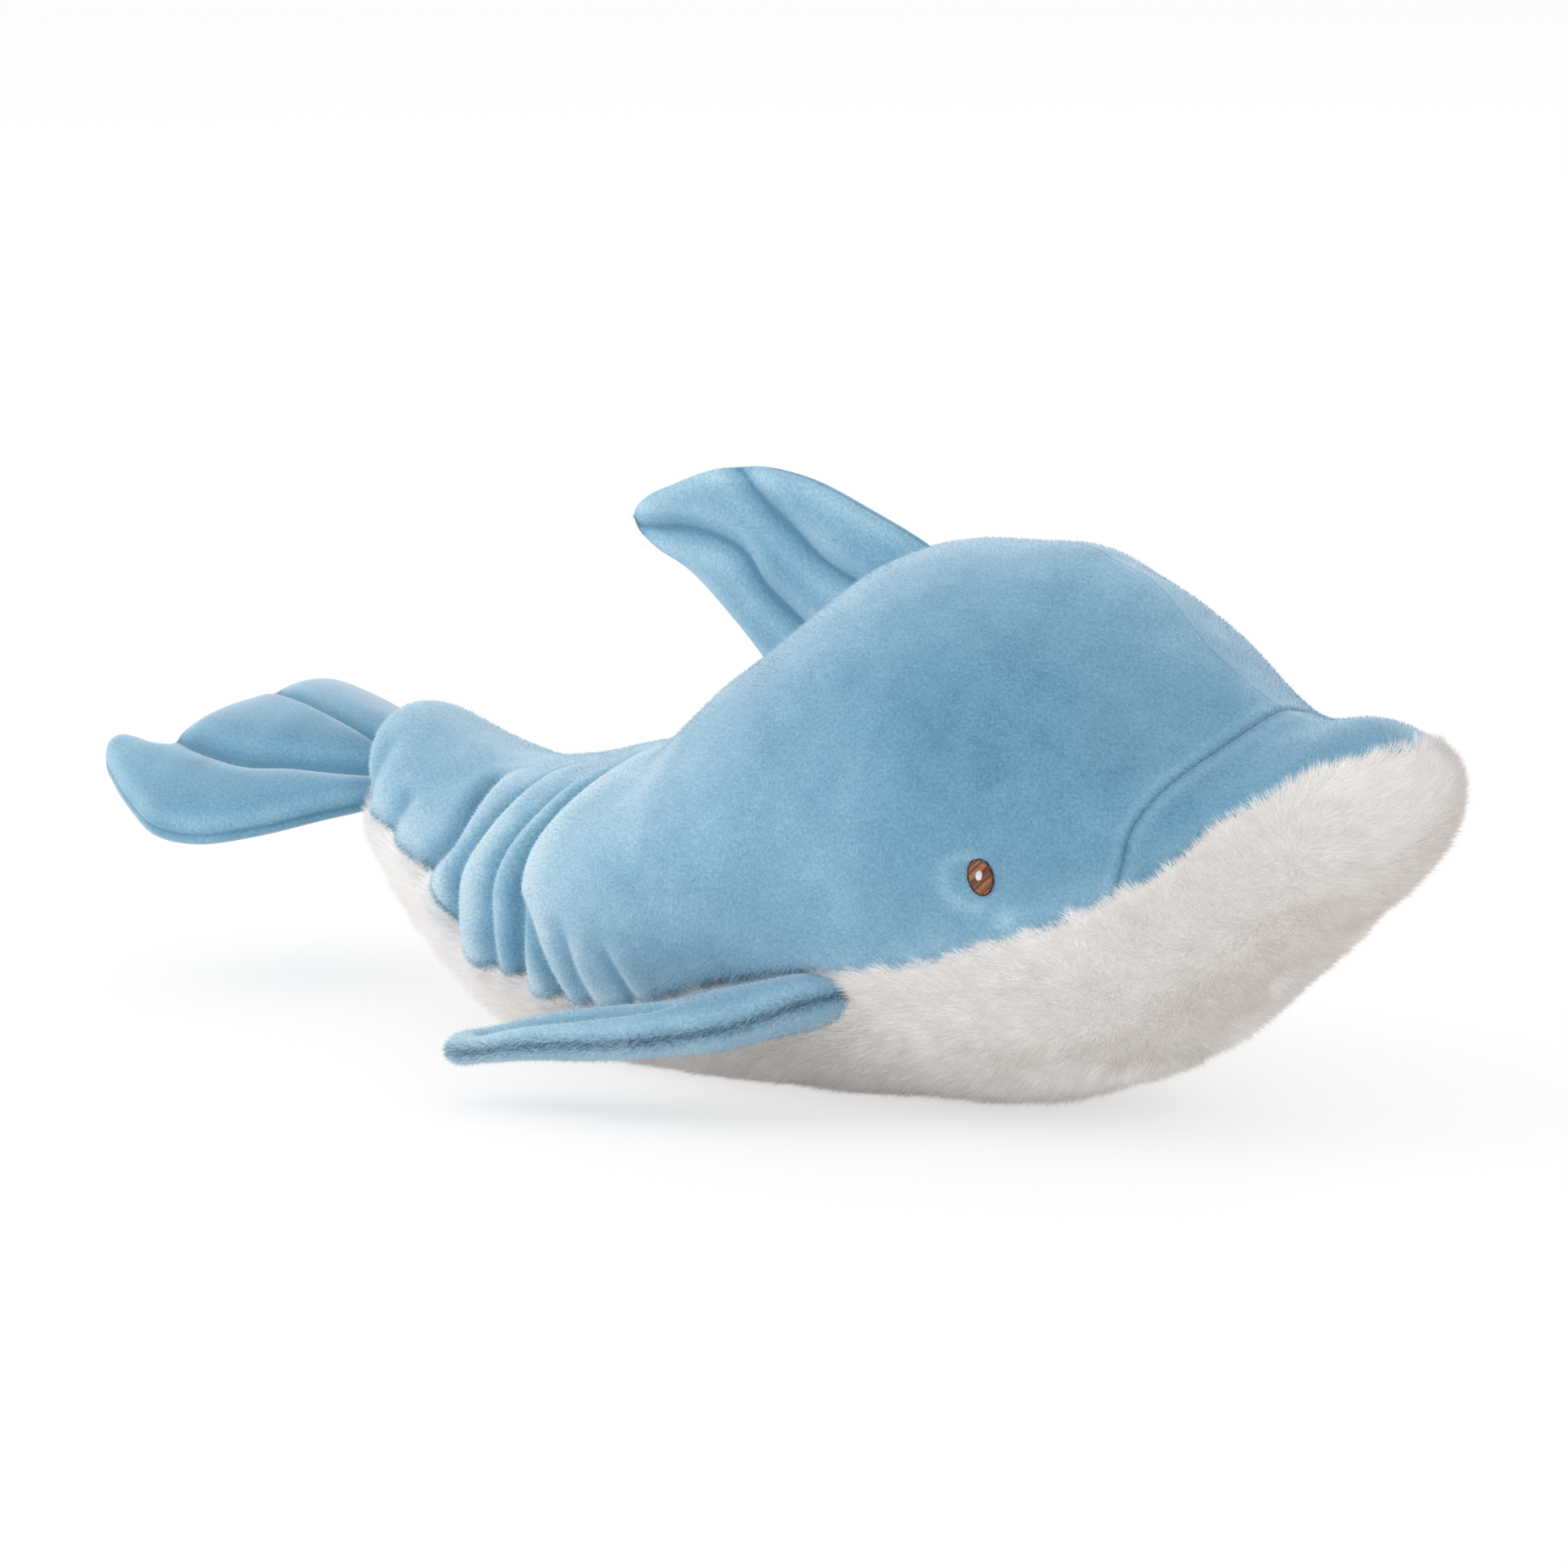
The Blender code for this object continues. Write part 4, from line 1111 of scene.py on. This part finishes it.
def fin_sheets(front, rear, half, lines, up, rows, columns, blunt=CROWN_ALONG):
    """The two faces of a fin as grids, and its stitched lines as places between the faces."""
    u = np.sin(np.linspace(0, 1, rows) * math.pi / 2)[:, None]
    w = (0.5 - np.cos(np.linspace(0, 1, columns) * math.pi) / 2)[None, :]
    u, w = np.broadcast_arrays(u, w)

    def between(u, w):
        leading = path_through(front, u)
        return leading + (path_through(rear, u) - leading) * w[..., None]

    middle = between(u, w)
    crown = np.sqrt(np.clip(1 - np.abs(2 * w - 1) ** CROWN_ACROSS, 0, 1))
    crown = crown * np.sqrt(np.clip(1 - u**blunt, 0, 1))
    left = np.ones(u.shape)
    stitched = []
    for line in lines:
        places = path_through(line, np.linspace(0, 1, 30))
        stitched.append(between(places[:, 0], places[:, 1]))
        away = near_line(middle, stitched[-1])
        left = left - CHANNEL_DEPTH * np.exp(-((away / CHANNEL_WIDTH) ** CHANNEL_POWER))
    thick = half * crown * np.maximum(left, 1 - CHANNEL_DEPTH)
    up = np.asarray(up, float)
    return middle + up * thick[..., None], middle - up * thick[..., None], stitched


def stuffed(points, faces, pinned):
    """A sewn case's points after its stuffing pushed the cloth out between its stitches."""
    mesh = bpy.data.meshes.new("case")
    mesh.from_pydata(points.tolist(), [], faces.tolist())
    case = bpy.data.objects.new("case", mesh)
    bpy.context.scene.collection.objects.link(case)
    group = case.vertex_groups.new(name="stitched")
    group.add([int(number) for number in np.flatnonzero(pinned)], 1.0, "REPLACE")
    cloth = case.modifiers.new("stuffing", "CLOTH")
    cloth.settings.vertex_group_mass = "stitched"
    cloth.settings.quality = 6
    cloth.settings.mass = 0.15
    cloth.settings.tension_stiffness = 12
    cloth.settings.compression_stiffness = 8
    cloth.settings.shear_stiffness = 5
    cloth.settings.bending_stiffness = 0.05
    cloth.settings.use_pressure = True
    cloth.settings.uniform_pressure_force = STUFFING_PRESSURE
    cloth.settings.effector_weights.gravity = 0
    cloth.collision_settings.use_collision = False
    cloth.collision_settings.use_self_collision = False
    scene = bpy.context.scene
    for number in range(1, STUFFING_FRAMES + 1):
        scene.frame_set(number)
    graph = bpy.context.evaluated_depsgraph_get()
    result = case.evaluated_get(graph).to_mesh()
    moved = np.empty(len(points) * 3, np.float32)
    result.vertices.foreach_get("co", moved)
    case.evaluated_get(graph).to_mesh_clear()
    scene.frame_set(1)
    bpy.data.objects.remove(case)
    bpy.data.meshes.remove(mesh)
    step = moved.reshape(-1, 3) - points
    size = np.linalg.norm(step, axis=-1, keepdims=True)
    return points + step * np.minimum(1, STUFFING_CAP / np.maximum(size, 1e-9))


def fin_piece(name, upper, lower, stitched, replaced, outward, seed, pale, along=1.0, across=0.3):
    """A stuffed fin: two velour faces that meet at the rim's seam, and their nap."""
    rows, columns = upper.shape[:2]
    count = rows * columns
    middle = (upper + lower) / 2
    away = np.min([near_line(middle, line) for line in stitched], axis=0)
    near = bell(away, 0, STITCH_WIDTH)
    faces = grid_faces(rows, columns)
    inner = np.arange(count).reshape(rows, columns)
    below = inner + count
    rim = np.zeros((rows, columns), bool)
    rim[:, 0] = rim[:, -1] = rim[0] = rim[-1] = True
    below = np.where(rim, inner, below)
    lower_faces = below.reshape(-1)[faces][:, ::-1]
    points = np.concatenate([upper.reshape(-1, 3), lower.reshape(-1, 3)])
    both = np.concatenate([faces, lower_faces])
    pinned = np.concatenate([(rim | (near > STITCHED_ABOVE)).reshape(-1)] * 2)
    used = np.unique(both)
    number = np.full(2 * count, -1)
    number[used] = np.arange(len(used))
    swollen = points.copy()
    swollen[used] = stuffed(points[used], number[both], pinned[used])
    edge = np.concatenate([middle[:, 0], middle[::-1, -1]])
    centre = np.concatenate([middle.mean(axis=1, keepdims=True) + 0 * middle] * 2).reshape(-1, 3)
    width = np.linalg.norm(middle[:, -1] - middle[:, 0], axis=-1)[:, None] + 0 * away
    width = np.concatenate([width.reshape(-1)] * 2)[:, None]
    beside = near_line(swollen, edge)[:, None]
    pull = bell(beside, 0, RIM_SEAM_WIDTH) * smooth_step(width / RIM_SEAM_FULL_AT)
    swollen = swollen + unit(centre - swollen) * pull * RIM_SEAM_DEPTH
    both = both[:, ::outward]
    beside = beside[:, 0]
    lines = np.concatenate([away.reshape(-1)] * 2)
    outer = np.broadcast_to(np.linspace(0, 1, rows)[:, None], (rows, columns)).reshape(-1)
    # Painted shade: the root of the fin is drawn darker than its tip.
    nap_and_painted_light = pale + FIN_TIP_PAINTED_LIGHT * np.concatenate([outer, outer])
    nap_and_painted_light = nap_and_painted_light + noises(points, FIN_PATCHES, seed)
    # Painted highlights on the channels' ridges, and a painted sheen inside the rim.
    for away_from, (share, at, wide) in ((lines, CHANNEL_PAINTED_HIGHLIGHT), (beside, RIM_PAINTED_SHEEN)):
        nap_and_painted_light = nap_and_painted_light + share * bell(away_from, at, wide)
    # Painted shade in the channels' valleys, and dark lines along the stitches and the rim's seam.
    for away_from, (share, wide) in (
        (lines, CHANNEL_PAINTED_SHADE), (lines, STITCH_DARK), (beside, RIM_DARK),
    ):
        nap_and_painted_light = nap_and_painted_light - share * bell(away_from, 0, wide)
    made = mesh_piece(name, swollen[used], [number[both]], [velour_cloth()], nap_and_painted_light=nap_and_painted_light[used])
    tidy_mesh(made)
    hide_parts(*replaced)
    splay = np.clip(bell(beside, 0, 0.0022) + 0.5 * bell(lines, 0, 0.0010), 0, 1)
    for face, index, way in (("upper", inner, -outward), ("lower", below, outward)):
        index = index.reshape(-1)
        shape = (rows, columns)
        nap_on(f"{name}_{face}_nap", swollen[index].reshape(*shape, 3), seed, way,
               splay[index].reshape(shape), nap_and_painted_light[index].reshape(shape), along, across)


def dress_dorsal():
    """The upright fin on the back."""
    anchor = body_base(DORSAL_AT, 0)
    front, rear = (
        [anchor + np.array([forward, 0, up]) for forward, up in edge]
        for edge in (DORSAL_FRONT, DORSAL_REAR)
    )
    sheets = fin_sheets(front, rear, DORSAL_HALF, DORSAL_CHANNELS, (0, 1, 0), *DORSAL_GRID)
    nodes = ("dorsal_fin_left_panel", "dorsal_fin_right_panel", "dorsal_fin_filling")
    fin_piece("dorsal_fin", *sheets, nodes, -1, 17, DORSAL_PALE)


def dress_fluke():
    """The tail's two lobes, turned and rolled a little as they lie."""
    half_span = max(side for _, side in FLUKE_FRONT)
    edges = [
        [np.array([-back, -side, -droop * (side / half_span) ** 2]) for back, side in edge]
        for edge, droop in (
            (FLUKE_FRONT, FLUKE_DROOP),
            (FLUKE_REAR, FLUKE_DROOP),
            (FLUKE_FAR_FRONT, FLUKE_FAR_DROOP),
            (FLUKE_FAR_REAR, FLUKE_FAR_DROOP),
        )
    ]
    upright = (0, 0, 1)
    near_lobe = fin_sheets(*edges[:2], FLUKE_HALF, (FLUKE_NEAR_CHANNEL,), upright, *FLUKE_GRID)
    far_lobe = fin_sheets(*edges[2:], FLUKE_HALF, (FLUKE_FAR_CHANNEL,), upright, *FLUKE_GRID)
    mirror = np.diag([1, -1, 1])
    here, _ = middle_line(0.0)
    place = np.array(
        Matrix.Translation((here[0], 0, here[1]))
        @ Matrix.Translation(FLUKE_SEAT)
        @ Matrix.Rotation(-FLUKE_TURN, 4, "Z")
        @ Matrix.Rotation(FLUKE_RISE, 4, "Y")
        @ Matrix.Rotation(FLUKE_ROLL, 4, "X")
    )

    def placed(points):
        return points @ place[:3, :3].T + place[:3, 3]

    whole = [
        placed(np.concatenate([far_lobe[face][:0:-1] @ mirror, near_lobe[face]])) for face in (0, 1)
    ]
    stitched = [placed(far_lobe[2][0] @ mirror), placed(near_lobe[2][0])]
    nodes = ("fluke_upper_panel", "fluke_lower_panel", "fluke_filling")
    fin_piece("fluke", *whole, stitched, nodes, -1, 19, FLUKE_PALE, along=0.2, across=1.0)


def dress_flipper(side, hand):
    """One flipper, sewn into the belly seam."""
    anchor = body_base(FLIPPER_AT, border_angle(np.array(FLIPPER_AT)))
    outward = np.array([1, -1, 1])
    front, rear = (
        [anchor + outward * point for point in edge] for edge in (FLIPPER_FRONT, FLIPPER_REAR)
    )
    length = front[-1] - (front[0] + rear[0]) / 2
    chord = front[len(front) // 2] - rear[len(rear) // 2]
    up = unit(np.cross(chord, length))
    up = up * math.copysign(1, up[2])
    upper, lower, stitched = fin_sheets(
        front, rear, FLIPPER_HALF, FLIPPER_CHANNELS, up, *FLIPPER_GRID, FLIPPER_BLUNT
    )
    flip = np.array([1, hand, 1])
    nodes = [f"{side}_flipper_{part}" for part in ("upper_panel", "lower_panel", "filling")]
    stitched = [line * flip for line in stitched]
    name = f"{side}_flipper"
    fin_piece(name, upper * flip, lower * flip, stitched, nodes, hand, 23, FLIPPER_PALE)


def tube(path, radius, sides=6):
    """Points and faces of a round thread that tapers at its two ends."""
    path = np.asarray(path, float)
    way = unit(np.gradient(path, axis=0))
    across = unit(np.cross(way, (0.31, 0.52, 0.79)))
    other = np.cross(way, across)
    taper = np.sqrt(np.clip(1 - np.linspace(-1, 1, len(path)) ** 6, 0.04, 1))[:, None, None]
    turn = np.linspace(0, 2 * math.pi, sides, endpoint=False)
    cosine, sine = (part[None, :, None] for part in (np.cos(turn), np.sin(turn)))
    ring = cosine * across[:, None] + sine * other[:, None]
    points = path[:, None] + ring * radius * taper
    return points.reshape(-1, 3), grid_faces(len(path), sides, closed=True)


def thread_finish(name, colour):
    """Embroidery thread, a little darker between its strands."""
    dark = tuple(0.6 * part for part in colour)
    return mottled(name, dark, colour, 0.0008, 0.0002, 0.34, 0.00008, 0.2)


def dress_eye(side, hand):
    """The eye's stitches: an outline, slanting satin rows, and a white highlight over them."""
    angle = math.radians(EYE_ANGLE)
    centre = body_skin(EYE_AT, angle)
    out = body_normal(EYE_AT, angle)
    upright = unit(np.array([0, 0, 1.0]) - out * out[2])
    across = np.cross(upright, out)
    tilted_up = math.cos(EYE_TILT) * upright - math.sin(EYE_TILT) * across
    tilted_across = math.cos(EYE_TILT) * across + math.sin(EYE_TILT) * upright
    flip = np.array([1, hand, 1])

    def on_eye(x, y, rise):
        """A place on the eye's low dome, from shares of its half width and half height."""
        dome = EYE_RAISE * np.sqrt(np.clip(1.15 - x**2 - y**2, 0, None)) + rise
        place = tilted_across * (x * EYE_WIDTH / 2)[..., None]
        place = place + tilted_up * (y * EYE_HEIGHT / 2)[..., None]
        return (centre + place + out * dome[..., None]) * flip

    rng = np.random.default_rng(61)
    threads = []
    for number in range(SATIN_ROWS):
        slant = -1 + 2 * (number + 0.5) / SATIN_ROWS
        t = np.linspace(-1, 1, 12)
        reach = math.sqrt(max(1 - slant**2, 0.02))
        x = t * reach * math.cos(SATIN_LEAN) - slant * math.sin(SATIN_LEAN)
        y = slant * math.cos(SATIN_LEAN) + t * reach * math.sin(SATIN_LEAN)
        rise = 0.00010 * rng.uniform(-1, 1) + 0 * t
        threads.append((on_eye(x, y, rise), THREAD_RADIUS, rng.choice([1, 2, 2, 3])))
    for number, turn in enumerate(np.linspace(0, 2 * math.pi, OUTLINE_STITCHES, endpoint=False)):
        t = np.linspace(-0.16, 0.16, 5) + turn + rng.uniform(-0.03, 0.03)
        size = 0.97 + np.linspace(-0.05, 0.07, 5)
        path = on_eye(size * np.sin(t), size * np.cos(t), 0 * t + 0.00012)
        threads.append((path, THREAD_RADIUS, 0 if number % 3 else 1))
    spot = HIGHLIGHT_WIDTH / EYE_WIDTH
    for number in range(HIGHLIGHT_ROWS):
        row = (number - (HIGHLIGHT_ROWS - 1) / 2) / (HIGHLIGHT_ROWS / 2)
        reach = math.sqrt(1 - row**2 * 0.9) * spot
        t = np.linspace(-1, 1, 7)
        y = row * spot * EYE_WIDTH / EYE_HEIGHT + 0.10 + t * reach * 0.28
        path = on_eye(t * reach + 0.02, y, 0.00034 + 0 * t)
        threads.append((path, HIGHLIGHT_THREAD_RADIUS, 4))
    materials = [
        finish_named(name, lambda made, c=colour: thread_finish(made, c))
        for name, colour in THREAD_SHADES
    ]
    for name, kinds, node, slot_name in (
        (f"{side}_eye_stitches", (0, 1, 2, 3), f"{side}_eye_embroidery", "brown_thread"),
        (f"{side}_eye_glint", (4,), f"{side}_eye_highlight", "white_thread"),
    ):
        points, faces, slots, total = [], [], [], 0
        if 0 in kinds:
            ring = np.linspace(0, 2 * math.pi, 40, endpoint=False)
            radii = np.array([0.0, 0.3, 0.6, 0.85, 1.0])[:, None]
            sunk = -0.00015 + 0 * (radii + ring)
            pad = on_eye(radii * np.sin(ring), radii * np.cos(ring), sunk)
            points.append(pad.reshape(-1, 3))
            pad_faces = grid_faces(5, 40, closed=True)
            faces.append(pad_faces)
            slots.append(np.full(len(pad_faces), 1))
            total = pad.shape[0] * pad.shape[1]
        for path, radius, kind in threads:
            if kind not in kinds:
                continue
            made_points, made_faces = tube(path, radius)
            points.append(made_points)
            faces.append(made_faces + total)
            slots.append(np.full(len(made_faces), kind if kind < 4 else 0))
            total += len(made_points)
        chosen = materials[:4] if 0 in kinds else materials[4:]
        points, faces, slots = (np.concatenate(part) for part in (points, faces, slots))
        made = mesh_piece(name, points, [faces], chosen, slots)
        tidy_mesh(made)
        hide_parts(node)


def floor_finish(colour):
    """White paint that keeps part of the shadow, and shows as white as the background."""
    material = principled("floor_white", colour, 0.9)
    tree = material.node_tree
    glow = tree.nodes.new("ShaderNodeEmission")
    glow.inputs["Strength"].default_value = 1
    rays = tree.nodes.new("ShaderNodeLightPath")
    share = tree.nodes.new("ShaderNodeMath")
    share.operation = "MULTIPLY"
    share.inputs[1].default_value = FLOOR_GLOW
    mix = tree.nodes.new("ShaderNodeMixShader")
    link_all(
        tree,
        (rays.outputs["Is Camera Ray"], share.inputs[0]),
        (share.outputs["Value"], mix.inputs["Fac"]),
        (tree.nodes["Principled BSDF"].outputs["BSDF"], mix.inputs[1]),
        (glow.outputs["Emission"], mix.inputs[2]),
        (mix.outputs["Shader"], tree.nodes["Material Output"].inputs["Surface"]),
    )
    return material


def set_world(scene, colour):
    """Even light from all round, in front of a white background."""
    world = bpy.data.worlds.new("studio")
    scene.world = world
    world.use_nodes = True
    tree = world.node_tree
    light = tree.nodes["Background"]
    light.inputs["Color"].default_value = (*colour, 1)
    light.inputs["Strength"].default_value = WORLD_STRENGTH
    white = tree.nodes.new("ShaderNodeBackground")
    white.inputs["Color"].default_value = (1, 1, 1, 1)
    white.inputs["Strength"].default_value = 1
    rays = tree.nodes.new("ShaderNodeLightPath")
    mix = tree.nodes.new("ShaderNodeMixShader")
    seen = rays.outputs["Is Camera Ray"]
    for ray in ("Is Glossy Ray", "Is Transmission Ray"):
        either = tree.nodes.new("ShaderNodeMath")
        either.operation = "MAXIMUM"
        link_all(tree, (seen, either.inputs[0]), (rays.outputs[ray], either.inputs[1]))
        seen = either.outputs["Value"]
    link_all(
        tree,
        (seen, mix.inputs["Fac"]),
        (light.outputs["Background"], mix.inputs[1]),
        (white.outputs["Background"], mix.inputs[2]),
        (mix.outputs["Shader"], tree.nodes["World Output"].inputs["Surface"]),
    )


def set_stage():
    """The pale floor, the soft light and the camera at the photo's angle."""
    scene = bpy.context.scene
    colours = scene.plush_dolphin_colours
    set_world(scene, colours.light)

    mesh = bpy.data.meshes.new("floor")
    signs = ((-1, -1), (1, -1), (1, 1), (-1, 1))
    corners = [(x * FLOOR_REACH, y * FLOOR_REACH, 0) for x, y in signs]
    mesh.from_pydata(corners, [], [(0, 1, 2, 3)])
    floor = bpy.data.objects.new("floor", mesh)
    scene.collection.objects.link(floor)
    floor.data.materials.append(floor_finish(colours.floor))

    for name, place, size, power in LAMPS:
        lamp = bpy.data.lights.new(name, "AREA")
        lamp.size = size
        lamp.energy = power
        made = bpy.data.objects.new(name, lamp)
        made.location = place
        way = Vector(LAMPS_FACE) - Vector(place)
        made.rotation_euler = way.to_track_quat("-Z", "Y").to_euler()
        scene.collection.objects.link(made)

    a, e = CAMERA_AZIMUTH, CAMERA_ELEVATION
    back = Vector((math.sin(a) * math.cos(e), -math.cos(a) * math.cos(e), math.sin(e)))
    camera = bpy.data.cameras.new("camera")
    camera.lens = CAMERA_LENS
    camera.sensor_width = 36
    camera.clip_end = 50
    made = bpy.data.objects.new("camera", camera)
    made.location = Vector(CAMERA_TARGET) + back * CAMERA_DISTANCE
    made.rotation_euler = (-back).to_track_quat("-Z", "Y").to_euler()
    scene.collection.objects.link(made)
    scene.camera = made
    scene.view_settings.view_transform = "Standard"


class DolphinSizes(bpy.types.PropertyGroup):
    """Sizes of the pile that a maker would change."""

    fur_length: bpy.props.FloatProperty(
        name="White pile length",
        description="Length of the white fibres",
        default=0.0052,
        unit="LENGTH",
    )
    fur_density: bpy.props.FloatProperty(
        name="White pile density", description="White fibres on a square millimetre", default=9.0
    )
    nap_length: bpy.props.FloatProperty(
        name="Velour nap length",
        description="Length of the blue fibres",
        default=0.0010,
        unit="LENGTH",
    )
    nap_density: bpy.props.FloatProperty(
        name="Velour nap density", description="Blue fibres on a square millimetre", default=2.1
    )


class DolphinColours(bpy.types.PropertyGroup):
    """Colours of the stage that a maker would change."""

    light: bpy.props.FloatVectorProperty(
        name="Light",
        description="Colour of the light all round",
        default=(1.0, 1.0, 1.0),
        subtype="COLOR",
    )
    floor: bpy.props.FloatVectorProperty(
        name="Floor",
        description="Colour of the floor",
        default=(0.96, 0.96, 0.96),
        subtype="COLOR",
    )


class DOLPHIN_OT_stage(bpy.types.Operator):
    """Set the floor, the lights and the camera"""

    bl_idname = "plush_dolphin.stage"
    bl_label = "Stage"

    def execute(self, context):
        set_stage()
        return {"FINISHED"}


class DOLPHIN_OT_sides(bpy.types.Operator):
    """Dress both blue side panels"""

    bl_idname = "plush_dolphin.sides"
    bl_label = "Side Panels"

    def execute(self, context):
        dress_side("right", 1)
        dress_side("left", -1)
        return {"FINISHED"}


class DOLPHIN_OT_muzzle(bpy.types.Operator):
    """Dress the blue panel over the beak"""

    bl_idname = "plush_dolphin.muzzle"
    bl_label = "Muzzle Panel"

    def execute(self, context):
        dress_muzzle()
        return {"FINISHED"}


class DOLPHIN_OT_belly(bpy.types.Operator):
    """Dress the white belly with its cloth and its long pile"""

    bl_idname = "plush_dolphin.belly"
    bl_label = "Belly Panel"

    def execute(self, context):
        dress_belly()
        dress_fur()
        return {"FINISHED"}


class DOLPHIN_OT_dorsal_fin(bpy.types.Operator):
    """Dress the quilted dorsal fin"""

    bl_idname = "plush_dolphin.dorsal_fin"
    bl_label = "Dorsal Fin"

    def execute(self, context):
        dress_dorsal()
        return {"FINISHED"}


class DOLPHIN_OT_fluke(bpy.types.Operator):
    """Dress the quilted fluke"""

    bl_idname = "plush_dolphin.fluke"
    bl_label = "Fluke"

    def execute(self, context):
        dress_fluke()
        return {"FINISHED"}


class DOLPHIN_OT_flippers(bpy.types.Operator):
    """Dress both flippers"""

    bl_idname = "plush_dolphin.flippers"
    bl_label = "Flippers"

    def execute(self, context):
        dress_flipper("right", 1)
        dress_flipper("left", -1)
        return {"FINISHED"}


class DOLPHIN_OT_eyes(bpy.types.Operator):
    """Embroider both eyes"""

    bl_idname = "plush_dolphin.eyes"
    bl_label = "Eyes"

    def execute(self, context):
        dress_eye("right", 1)
        dress_eye("left", -1)
        return {"FINISHED"}


OPERATORS = (
    DOLPHIN_OT_stage,
    DOLPHIN_OT_sides,
    DOLPHIN_OT_muzzle,
    DOLPHIN_OT_belly,
    DOLPHIN_OT_dorsal_fin,
    DOLPHIN_OT_fluke,
    DOLPHIN_OT_flippers,
    DOLPHIN_OT_eyes,
)


class DOLPHIN_PT_panel(bpy.types.Panel):
    """Lists the dolphin's pieces"""

    bl_idname = "DOLPHIN_PT_panel"
    bl_label = "Plush Dolphin"
    bl_space_type = "VIEW_3D"
    bl_region_type = "UI"
    bl_category = "Plush Dolphin"

    def draw(self, context):
        for group in (context.scene.plush_dolphin_sizes, context.scene.plush_dolphin_colours):
            for name in group.bl_rna.properties.keys():
                if name not in ("rna_type", "name"):
                    self.layout.prop(group, name)
        for operator in OPERATORS:
            self.layout.operator(operator.bl_idname)


CLASSES = (DolphinSizes, DolphinColours, *OPERATORS, DOLPHIN_PT_panel)


def register():
    for made in CLASSES:
        bpy.utils.register_class(made)
    bpy.types.Scene.plush_dolphin_sizes = bpy.props.PointerProperty(type=DolphinSizes)
    bpy.types.Scene.plush_dolphin_colours = bpy.props.PointerProperty(type=DolphinColours)


def unregister():
    del bpy.types.Scene.plush_dolphin_colours
    del bpy.types.Scene.plush_dolphin_sizes
    for made in reversed(CLASSES):
        bpy.utils.unregister_class(made)


def plain(box):
    return [[float(value) for value in corner] for corner in box]


def main():
    register()
    bpy.ops.plush_dolphin.stage()
    bpy.ops.plush_dolphin.sides()
    bpy.ops.plush_dolphin.muzzle()
    bpy.ops.plush_dolphin.belly()
    bpy.ops.plush_dolphin.dorsal_fin()
    bpy.ops.plush_dolphin.fluke()
    bpy.ops.plush_dolphin.flippers()
    bpy.ops.plush_dolphin.eyes()


if __name__ == "__main__":
    main()
